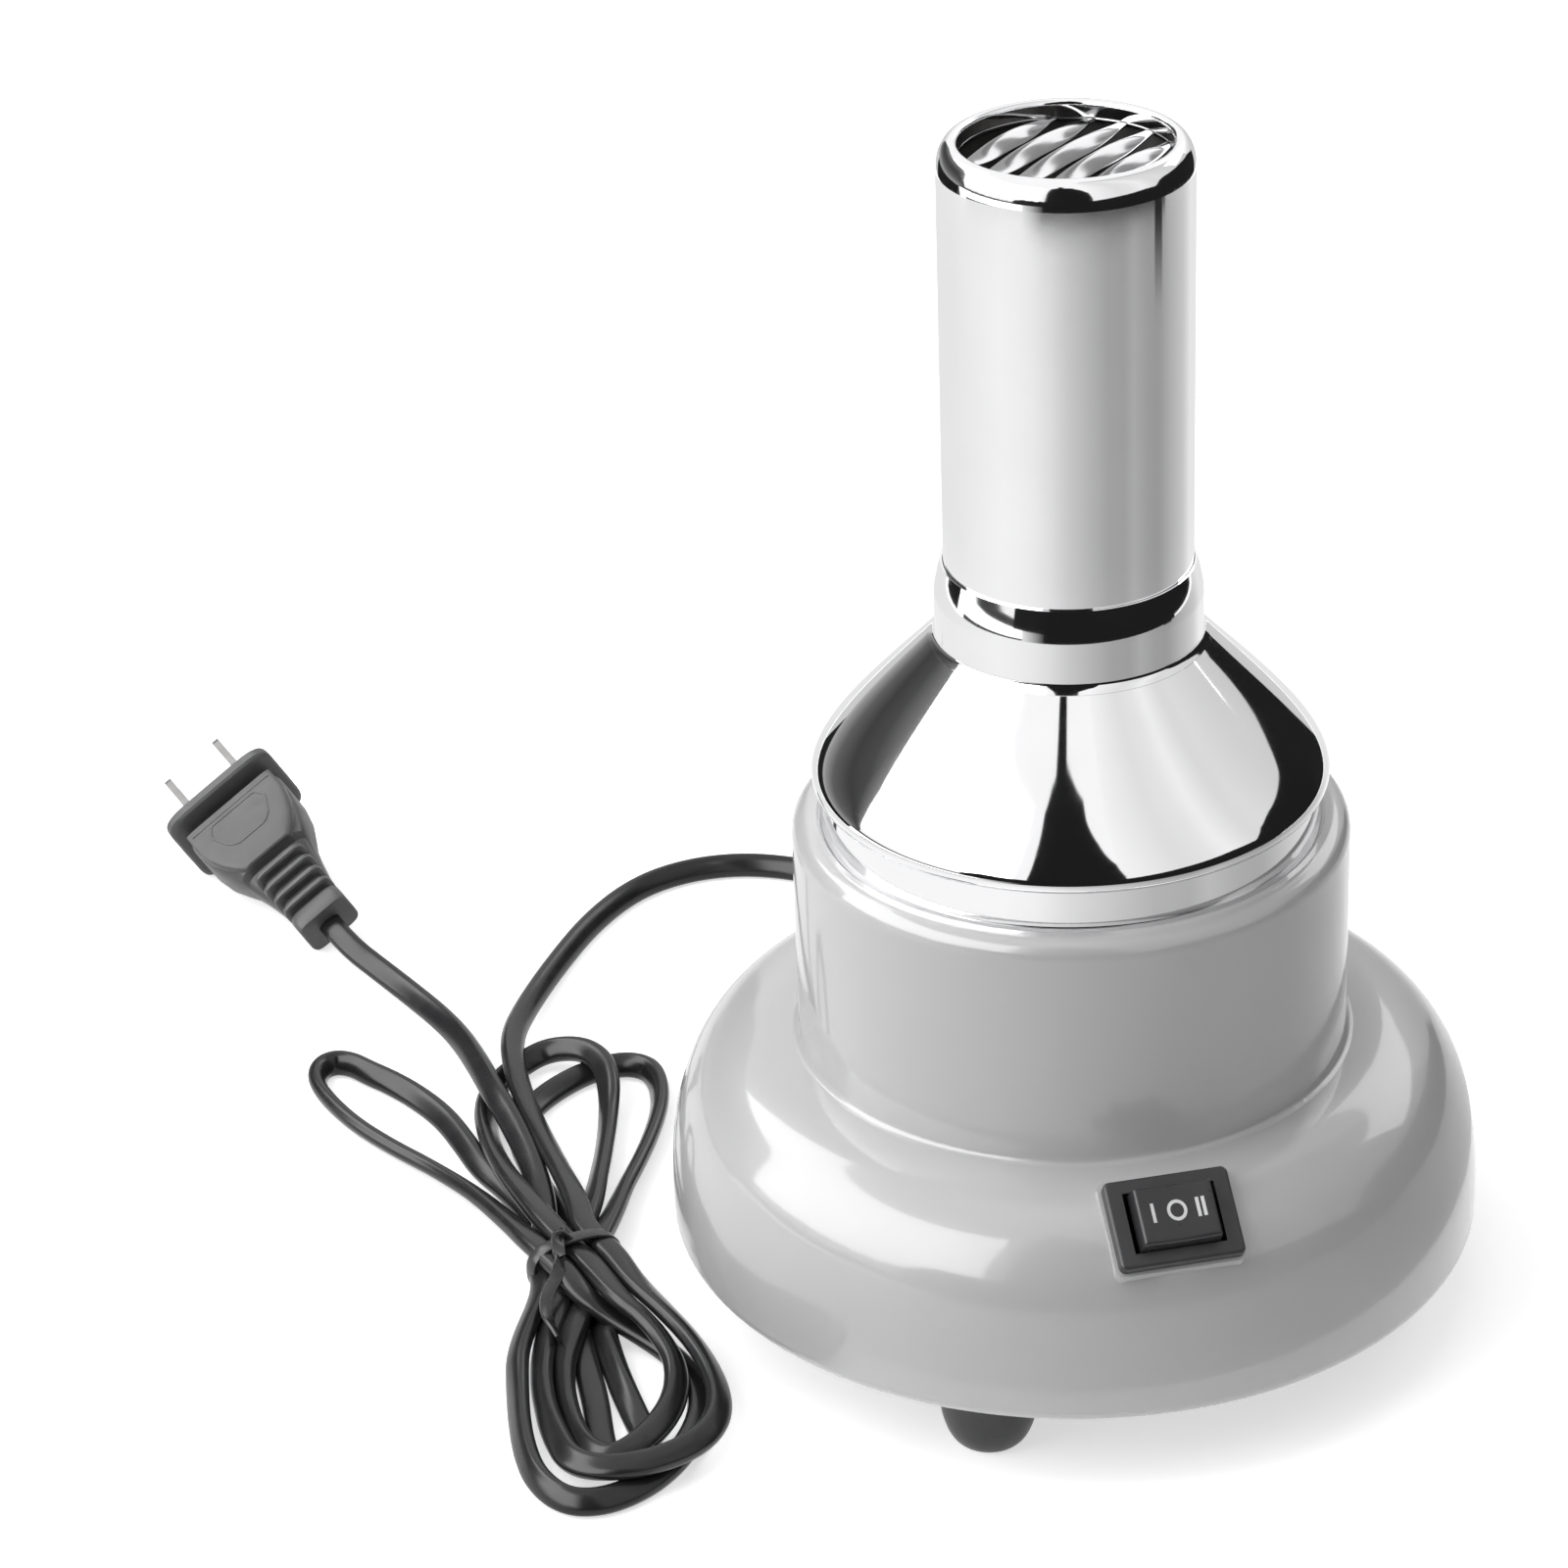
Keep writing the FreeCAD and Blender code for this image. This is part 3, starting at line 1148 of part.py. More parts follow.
# ---------------------------------------------------------------- lead entry
def make_cord_gland():
    """Drawn along +Z from the pad's face, then laid along +Y."""
    inner_flange = cylinder(GLAND_INNER_FLANGE_RADIUS, -PAD_DEPTH - GLAND_FLANGE, -PAD_DEPTH)
    neck = cylinder(GLAND_NECK_RADIUS, -PAD_DEPTH, 0)
    outer_flange = cylinder(GLAND_FLANGE_RADIUS, 0, GLAND_FLANGE)
    outer_flange = outer_flange.makeFillet(GLAND_FLANGE / 3, flat_edges_at(outer_flange, GLAND_FLANGE))
    tail = Part.makeCone(GLAND_TAIL_THICK, GLAND_TAIL_THIN, GLAND_TAIL_LENGTH, V(0, 0, GLAND_FLANGE))
    gland = fused([inner_flange, neck, outer_flange, tail])
    pitch = GLAND_TAIL_LENGTH / (GLAND_RINGS + 1)
    gap = pitch - GLAND_RING_LENGTH
    taper = (GLAND_TAIL_THICK - GLAND_TAIL_THIN) / GLAND_TAIL_LENGTH
    for i in range(GLAND_RINGS):
        along = (i + 0.5) * pitch
        core = GLAND_TAIL_THICK - taper * along - GLAND_GROOVE_DEPTH
        low, high = around(gap / 2, GLAND_FLANGE + along)
        gland = gland.cut(ring(GLAND_FLANGE_RADIUS, core, low, high))
    gland.Placement = FreeCAD.Placement(V(0, PAD_FACE, CORD_ENTRY_HEIGHT), FreeCAD.Rotation(X_AXIS, -90))
    return gland


def make_inner_cord():
    length = PAD_INSIDE - GLAND_FLANGE - INNER_CORD_END
    return Part.makeCylinder(CORD_RADIUS, length, V(0, INNER_CORD_END, CORD_ENTRY_HEIGHT), Y_AXIS)


def make_cord_clamp():
    top = CORD_TOP + CLAMP_THICKNESS
    bar = block(around(CLAMP_LENGTH / 2), around(CLAMP_WIDTH / 2, CLAMP_Y), (CORD_TOP, top))
    bar = bar.makeFillet(CLAMP_THICKNESS / 2, vertical_edges(bar))
    return drilled(bar, clamp_screw_places(), CLAMP_SCREW_RADIUS + SCREW_PLAY, CORD_TOP, top)


def make_clamp_screw(place):
    return screw(place, CORD_TOP + CLAMP_THICKNESS, CLAMP_SCREW_REACH, CLAMP_SCREW_RADIUS,
                 CLAMP_SCREW_HEAD_RADIUS, CLAMP_SCREW_HEAD, UP)


def make_terminal_block():
    length, width, height = BLOCK_SIZE
    groove_width, groove_depth = BLOCK_GROOVE
    top = BASE_TOP + height
    y_range = around(width / 2, BLOCK_Y)
    body = block(around(length / 2), y_range, (BASE_TOP, top))
    return body.cut(block(around(groove_width / 2), y_range, (top - groove_depth, top)))


def make_rectifier_board():
    half_x, half_y = [size / 2 for size in BOARD_SIZE]
    board = block(around(half_x, BOARD_X), around(half_y), (BOARD_BOTTOM, BOARD_TOP))
    return drilled(board, board_screw_places(), BOARD_SCREW_RADIUS + SCREW_PLAY, BOARD_BOTTOM, BOARD_TOP)


def make_board_screw(place):
    return screw(place, BOARD_TOP, BOARD_SCREW_REACH, BOARD_SCREW_RADIUS,
                 BOARD_SCREW_HEAD_RADIUS, BOARD_SCREW_HEAD, UP)


def make_rectifier_diodes():
    middle = (DIODE_COUNT - 1) / 2
    places = [V(BOARD_X, (i - middle) * DIODE_PITCH, BOARD_TOP + DIODE_RADIUS) for i in range(DIODE_COUNT)]
    return [Part.makeCylinder(DIODE_RADIUS, DIODE_LENGTH, place, X_AXIS) for place in places]


# ---------------------------------------------------------------- internal leads
def make_heater_lead(side):
    """From the cutout or the fuse down through the carrier, the shroud's hole and onto the board."""
    top = NOZZLE_BOTTOM + CUTOUT_LIFT
    x = thermal_fuse_place().x
    y = side * (CARRIER_ARM / 2 + LEAD_RADIUS + LOOSE)
    hole_y = side * LEAD_HOLE_SPREAD
    foot_x = BOARD_X + HEATER_LEAD_REACH
    foot_y = side * HEATER_LEAD_SPREAD
    route = [
        V(x, y, top),
        V(x, y, top - HEATER_LEAD_DROP),
        V((x + LEAD_HOLE_CIRCLE) / 2, (y + hole_y) / 2, DECK_TOP + HEATER_LEAD_BEND_RISE),
        V(LEAD_HOLE_CIRCLE, hole_y, DECK_TOP + LEAD_STANDOFF),
        V(LEAD_HOLE_CIRCLE, hole_y, BOARD_TOP + HEATER_LEAD_LEVEL),
        V(foot_x, foot_y, BOARD_TOP + LEAD_STANDOFF),
        V(foot_x, foot_y, BOARD_TOP),
    ]
    return tube(route, LEAD_RADIUS)


def make_motor_lead(side):
    """From the board's inner edge to the side of the motor's end cap."""
    foot_x = BOARD_X - MOTOR_LEAD_REACH
    foot_y = side * MOTOR_LEAD_SPREAD
    cap_y = side * MOTOR_LEAD_CLOSE
    cap_x = math.sqrt(MOTOR_RADIUS ** 2 - cap_y ** 2)
    cap_z = (END_CAP_BOTTOM + MOTOR_BOTTOM) / 2
    route = [
        V(foot_x, foot_y, BOARD_TOP),
        V(foot_x, foot_y, BOARD_TOP + LEAD_TO_MOTOR),
        V(cap_x + LEAD_TO_MOTOR, cap_y, cap_z),
        V(cap_x + LEAD_RADIUS / 3, cap_y, cap_z),
    ]
    return tube(route, LEAD_RADIUS)


def make_supply_lead(side):
    """One core of the lead, from the end of its sheath to the terminal block."""
    near_x = side * (LEAD_RADIUS + SLIP)
    far_x = side * SUPPLY_LEAD_SPREAD
    route = [
        V(near_x, INNER_CORD_END, CORD_ENTRY_HEIGHT),
        V(near_x, INNER_CORD_END - LEAD_STUB, CORD_ENTRY_HEIGHT),
        V(far_x, BLOCK_FACE + LEAD_STUB, CORD_ENTRY_HEIGHT),
        V(far_x, BLOCK_FACE, CORD_ENTRY_HEIGHT),
    ]
    return tube(route, LEAD_RADIUS)


def make_switch_lead(side):
    """From the terminal block round the motor to the tip of one switch terminal."""
    tip_z = SWITCH_BODY_BOTTOM - TERMINAL_LENGTH
    tip_x = side * TERMINAL_PITCH
    x = side * SWITCH_LEAD_SPREAD
    clear_x = side * (MOTOR_RADIUS + LEAD_TO_MOTOR)
    back = BLOCK_Y - BLOCK_SIZE[1] / 2
    low = BASE_TOP + SWITCH_LEAD_LOW
    route = [V(x, back, low), V(x, back - LEAD_STANDOFF, low)]
    route += [V(clear_x, y, BASE_TOP + SWITCH_LEAD_HIGH) for y in SWITCH_LEAD_BENDS]
    route += [switch_place().multVec(V(tip_x, 0, tip_z - run)) for run in (LEAD_STANDOFF, 0)]
    return tube(route, LEAD_RADIUS)


def pair(make):
    return [make(side) for side in (-1, 1)]


# ---------------------------------------------------------------- plug
def plug_rib(x_middle, share):
    width, height = [start + (end - start) * share for start, end in zip(PLUG_RIB_START, PLUG_RIB_END)]
    low, high = around(PLUG_RIB_THICKNESS / 2, x_middle)
    return rounded_block(width, height, PLUG_RIB_ROUND, low, high)


def blade_offsets():
    return [side * BLADE_SPACING / 2 for side in (-1, 1)]


def plug_blade(y):
    reach, thickness, width = BLADE
    blade = block((-BLADE_ROOT, reach), around(thickness / 2, y), around(width / 2))
    boxes = [(e, e.BoundBox) for e in blade.Edges]
    tip_edges = [e for e, box in boxes if box.XMin > reach - SAME_PLACE and box.ZLength < SAME_PLACE]
    blade = blade.makeFillet(thickness, tip_edges)
    hole_start = V(reach - BLADE_HOLE_SETBACK, y - thickness / 2, 0)
    blade = blade.cut(Part.makeCylinder(BLADE_HOLE_RADIUS, thickness, hole_start, Y_AXIS))
    blade.Placement = PLUG_PLACE
    return blade


def make_plug_body():
    thickness, width, height = PLUG_FLANGE
    flange = rounded_block(width, height, PLUG_FLANGE_ROUND, -thickness, 0)
    rims = [e for e in flange.Edges if e.BoundBox.XLength < SAME_PLACE]
    flange = flange.makeFillet(PLUG_FLANGE_EDGE, rims)
    straight_end = -thickness - PLUG_BODY_STRAIGHT
    body_end = -thickness - PLUG_BODY_LENGTH
    straight = rounded_block(*PLUG_BODY_START, PLUG_BODY_ROUND, straight_end, -thickness)
    taper = Part.makeLoft([
        rounded_outline(*PLUG_BODY_START, PLUG_BODY_ROUND, straight_end),
        rounded_outline(*PLUG_BODY_END, PLUG_BODY_ROUND, body_end),
    ], True, True)
    collar_length, collar_width, collar_height = PLUG_COLLAR
    collar_start = -PLUG_LENGTH + collar_length
    core = rounded_block(*PLUG_RELIEF_CORE, PLUG_RIB_ROUND, collar_start, body_end)
    collar = rounded_block(collar_width, collar_height, PLUG_RIB_ROUND, -PLUG_LENGTH, collar_start)
    pitch = (body_end - collar_start) / (PLUG_RIBS + 1)
    ribs = [plug_rib(body_end - pitch * (i + 1), (i + 1.0) / PLUG_RIBS) for i in range(PLUG_RIBS)]
    plug = fused([flange, straight, taper, core, collar] + ribs)
    _, blade_thickness, blade_width = BLADE
    for y in blade_offsets():
        plug = plug.cut(block((-BLADE_ROOT, 0), around(blade_thickness / 2, y), around(blade_width / 2)))
    plug.Placement = PLUG_PLACE
    return plug


# ---------------------------------------------------------------- lead and hank
def on_floor(lay):
    return [TIE_PLACE + V(x, y, CORD_RADIUS) for x, y in lay]


def cord_route():
    drop = CORD_ENTRY_HEIGHT - CORD_RADIUS
    falling = [V(x, GLAND_MOUTH.y + y, CORD_RADIUS + share * drop) for x, y, share in CORD_DROP]
    return falling + on_floor(CORD_LAY)


def tail_route():
    """The tail's last run lies on the plug's own axis."""
    lift = TIE_PLACE + TAIL_LIFT + V(0, 0, CORD_RADIUS)
    last = [PLUG_PLACE.multVec(V(-PLUG_LENGTH - run, 0, 0)) for run in (TAIL_LEAD_IN, 0)]
    return on_floor(TAIL_LAY) + [lift] + last


def lobe(reach, large_radius):
    """A flat lobe of turns: two rounds and the straight sides that touch both."""
    small = TIE_PLACE
    small_radius = LOBE_NECK_RADIUS
    large = TIE_PLACE + reach
    axis = reach
    heading = math.atan2(axis.y, axis.x)
    lean = math.acos((small_radius - large_radius) / axis.Length)
    forward = V(math.cos(heading), math.sin(heading), 0)
    normals = [V(math.cos(heading + side * lean), math.sin(heading + side * lean), 0) for side in (1, -1)]
    near = [small + normal * small_radius for normal in normals]
    far = [large + normal * large_radius for normal in normals]
    wire = Part.Wire([
        Part.LineSegment(near[0], far[0]).toShape(),
        Part.Arc(far[0], large + forward * large_radius, far[1]).toShape(),
        Part.LineSegment(far[1], near[1]).toShape(),
        Part.Arc(near[1], small - forward * small_radius, near[0]).toShape(),
    ])
    return Part.Face(wire).extrude(V(0, 0, HANK_HEIGHT))


def tie_box(half_width, half_length, bottom, top):
    return block(around(half_width, TIE_PLACE.x), around(half_length, TIE_PLACE.y), (bottom, top))


def make_cord_hank():
    lobes = [lobe(reach, radius) for reach, radius in LOBES]
    room = tie_box(NECK_WIDTH, TIE_WIDTH / 2 + TIE_ROOM, 0, NECK_TOP)
    neck = tie_box(NECK_WIDTH / 2, NECK_LENGTH / 2, NECK_BOTTOM, NECK_TOP)
    return fused([fused(lobes).cut(room), neck])


def make_cord_tie():
    grow = TIE_PLAY + TIE_THICKNESS
    outer = tie_box(NECK_WIDTH / 2 + grow, TIE_WIDTH / 2, NECK_BOTTOM - grow, NECK_TOP + grow)
    lengthwise = [e for e in outer.Edges if abs(e.tangentAt(e.FirstParameter).y) > ALONG]
    outer = outer.makeFillet(TIE_THICKNESS, lengthwise)
    inner = tie_box(NECK_WIDTH / 2 + TIE_PLAY, TIE_WIDTH / 2, NECK_BOTTOM - TIE_PLAY, NECK_TOP + TIE_PLAY)
    return outer.cut(inner)


# ---------------------------------------------------------------- write the parts
def main():
    os.makedirs("parts", exist_ok=True)
    save("housing_shell", make_housing_shell())
    save("base_plate", make_base_plate())
    save("rubber_feet", [make_foot(place) for place in foot_places()])
    save("foot_screws", [make_foot_screw(place) for place in foot_places()])
    save("chrome_dome", make_chrome_dome())
    save("collar_ring", make_collar_ring())
    save("nozzle_tube", make_nozzle_tube())
    save("outlet_grille", make_outlet_grille())
    save("heat_shield_tube", make_heat_shield())
    save("heater_carrier", make_heater_carrier())
    save("mica_former", make_mica_former())
    save("heater_coil", make_heater_coil())
    save("thermal_cutout", make_thermal_cutout())
    save("thermal_fuse", make_thermal_fuse())
    save("fan_shroud", make_fan_shroud())
    save("motor_bracket", make_motor_bracket())
    save("bracket_screws", [make_bracket_screw(place) for place in lug_places()])
    save("motor_screws", [make_motor_screw(place) for place in motor_screw_places()])
    save("motor_can", make_motor_can())
    save("motor_end_cap", make_motor_end_cap())
    save("front_bearing", make_bearing(MOTOR_TOP - BEARING_LENGTH / 2))
    save("rear_bearing", make_bearing(END_CAP_BOTTOM))
    save("motor_magnets", [make_magnet(azimuth) for azimuth in (0, 180)])
    save("motor_brushes", pair(make_brush))
    save("motor_shaft", make_motor_shaft())
    save("armature_core", make_armature_core())
    save("armature_winding", make_winding_ends())
    save("commutator", make_commutator())
    save("fan_impeller", make_fan_impeller())
    save("switch_frame", make_switch_frame())
    save("switch_rocker", make_switch_rocker())
    save("switch_terminals", make_switch_terminals())
    save("cord_gland", make_cord_gland())
    save("inner_cord", make_inner_cord())
    save("cord_clamp", make_cord_clamp())
    save("clamp_screws", [make_clamp_screw(place) for place in clamp_screw_places()])
    save("terminal_block", make_terminal_block())
    save("rectifier_board", make_rectifier_board())
    save("board_screws", [make_board_screw(place) for place in board_screw_places()])
    save("rectifier_diodes", make_rectifier_diodes())
    save("heater_leads", pair(make_heater_lead))
    save("motor_leads", pair(make_motor_lead))
    save("supply_leads", pair(make_supply_lead))
    save("switch_leads", pair(make_switch_lead))
    save("mains_cord", tube(cord_route(), CORD_RADIUS, "mains_cord"))
    save("cord_hank", make_cord_hank())
    save("cord_tail", tube(tail_route(), CORD_RADIUS, "cord_tail"))
    save("cord_tie", make_cord_tie())
    save("plug_body", make_plug_body())
    save("plug_blades", [plug_blade(y) for y in blade_offsets()])


main()
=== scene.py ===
"""The eyeglass frame warmer's look model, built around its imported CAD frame. Everything is in metres."""

import json
import math

import bmesh
import bpy
from mathutils import Matrix, Vector


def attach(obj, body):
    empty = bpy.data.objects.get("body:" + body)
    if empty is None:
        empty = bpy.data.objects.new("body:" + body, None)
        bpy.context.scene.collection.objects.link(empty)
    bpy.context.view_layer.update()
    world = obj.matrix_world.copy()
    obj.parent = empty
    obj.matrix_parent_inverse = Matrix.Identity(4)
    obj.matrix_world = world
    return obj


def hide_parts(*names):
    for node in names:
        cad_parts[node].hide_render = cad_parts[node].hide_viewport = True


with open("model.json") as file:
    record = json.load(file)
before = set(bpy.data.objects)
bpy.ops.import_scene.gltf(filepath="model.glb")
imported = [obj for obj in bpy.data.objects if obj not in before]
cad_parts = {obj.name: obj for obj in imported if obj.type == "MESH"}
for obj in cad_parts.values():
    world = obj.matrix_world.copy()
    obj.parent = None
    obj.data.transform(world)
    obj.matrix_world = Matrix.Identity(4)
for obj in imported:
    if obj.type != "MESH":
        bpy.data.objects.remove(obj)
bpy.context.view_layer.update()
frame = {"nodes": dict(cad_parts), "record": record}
NODES = frame["nodes"]
SCENE = bpy.context.scene
MILLI = 0.001


# ------------------------------------------------------------------ materials
def new_material(name):
    material = bpy.data.materials.new(name)
    material.use_nodes = True
    tree = material.node_tree
    tree.nodes.clear()
    output = tree.nodes.new("ShaderNodeOutputMaterial")
    return material, tree, output


def noise(tree, coordinates, scale, detail=3.0, stretch=(1, 1, 1)):
    source = coordinates
    if stretch != (1, 1, 1):
        mapping = tree.nodes.new("ShaderNodeMapping")
        mapping.inputs["Scale"].default_value = stretch
        tree.links.new(coordinates, mapping.inputs["Vector"])
        source = mapping.outputs["Vector"]
    node = tree.nodes.new("ShaderNodeTexNoise")
    node.inputs["Scale"].default_value = scale
    node.inputs["Detail"].default_value = detail
    tree.links.new(source, node.inputs["Vector"])
    return node.outputs["Fac"]


def bands(tree, coordinates, scale, direction):
    node = tree.nodes.new("ShaderNodeTexWave")
    node.wave_type = "BANDS"
    node.bands_direction = direction
    node.inputs["Scale"].default_value = scale
    tree.links.new(coordinates, node.inputs["Vector"])
    return node.outputs["Fac"]


def remap(tree, value, low, high, start=0.3, end=0.7):
    node = tree.nodes.new("ShaderNodeMapRange")
    node.inputs["From Min"].default_value = start
    node.inputs["From Max"].default_value = end
    node.inputs["To Min"].default_value = low
    node.inputs["To Max"].default_value = high
    tree.links.new(value, node.inputs["Value"])
    return node.outputs["Result"]


def mix_colour(tree, share, first, second):
    node = tree.nodes.new("ShaderNodeMix")
    node.data_type = "RGBA"
    tree.links.new(share, node.inputs["Factor"])
    for socket, colour in ((node.inputs[6], first), (node.inputs[7], second)):
        if isinstance(colour, tuple):
            socket.default_value = (*colour, 1)
        else:
            tree.links.new(colour, socket)
    return node.outputs[2]


def bumped(tree, height, strength, depth, base=None):
    node = tree.nodes.new("ShaderNodeBump")
    node.inputs["Strength"].default_value = strength
    node.inputs["Distance"].default_value = depth
    tree.links.new(height, node.inputs["Height"])
    if base is not None:
        tree.links.new(base, node.inputs["Normal"])
    return node.outputs["Normal"]


def scaled(colour, factor):
    return tuple(min(1.0, channel * factor) for channel in colour)


def surface(name, colour, rough, metallic=0.0, tint=0.06, patch=60.0, grain=1400.0, depth=0.00002,
            strength=0.25, rough_swing=0.3, coat=0.0, coat_rough=0.05, wear_and_highlight=0.0, worn_and_lit=None, stripes=None,
            stretch=(1, 1, 1), specular=0.5):
    """A finish whose colour, gloss and relief all vary over the object's own coordinates."""
    material, tree, output = new_material(name)
    shader = tree.nodes.new("ShaderNodeBsdfPrincipled")
    tree.links.new(shader.outputs["BSDF"], output.inputs["Surface"])
    shader.inputs["Metallic"].default_value = metallic
    shader.inputs["Specular IOR Level"].default_value = specular
    shader.inputs["Coat Weight"].default_value = coat
    shader.inputs["Coat Roughness"].default_value = coat_rough
    place = tree.nodes.new("ShaderNodeTexCoord").outputs["Object"]
    patches = remap(tree, noise(tree, place, patch, 3.0, stretch), 0.0, 1.0)
    base = mix_colour(tree, patches, scaled(colour, 1 - tint), scaled(colour, 1 + tint))
    normal = None
    if stripes:
        scale, direction, dark = stripes
        lines = bands(tree, place, scale, direction)
        base = mix_colour(tree, remap(tree, lines, 1.0, 0.0, 0.1, 0.5), base, scaled(colour, dark))
        normal = bumped(tree, lines, 0.8, 0.0001)
    # Lighter convex edges found by pointiness: rubbed edge wear on most finishes, and a painted highlight along the
    # plug's ridges and flange edges.
    if wear_and_highlight:
        geometry = tree.nodes.new("ShaderNodeNewGeometry")
        edges = remap(tree, geometry.outputs["Pointiness"], 0.0, wear_and_highlight, 0.52, 0.6)
        base = mix_colour(tree, edges, base, worn_and_lit or scaled(colour, 1.5))
    tree.links.new(base, shader.inputs["Base Color"])
    gloss = remap(tree, noise(tree, place, patch * 2.5, 2.0, stretch),
                  rough * (1 - rough_swing), rough * (1 + rough_swing), 0.0, 1.0)
    tree.links.new(gloss, shader.inputs["Roughness"])
    normal = bumped(tree, noise(tree, place, grain, 2.0, stretch), strength, depth, normal)
    tree.links.new(normal, shader.inputs["Normal"])
    return material


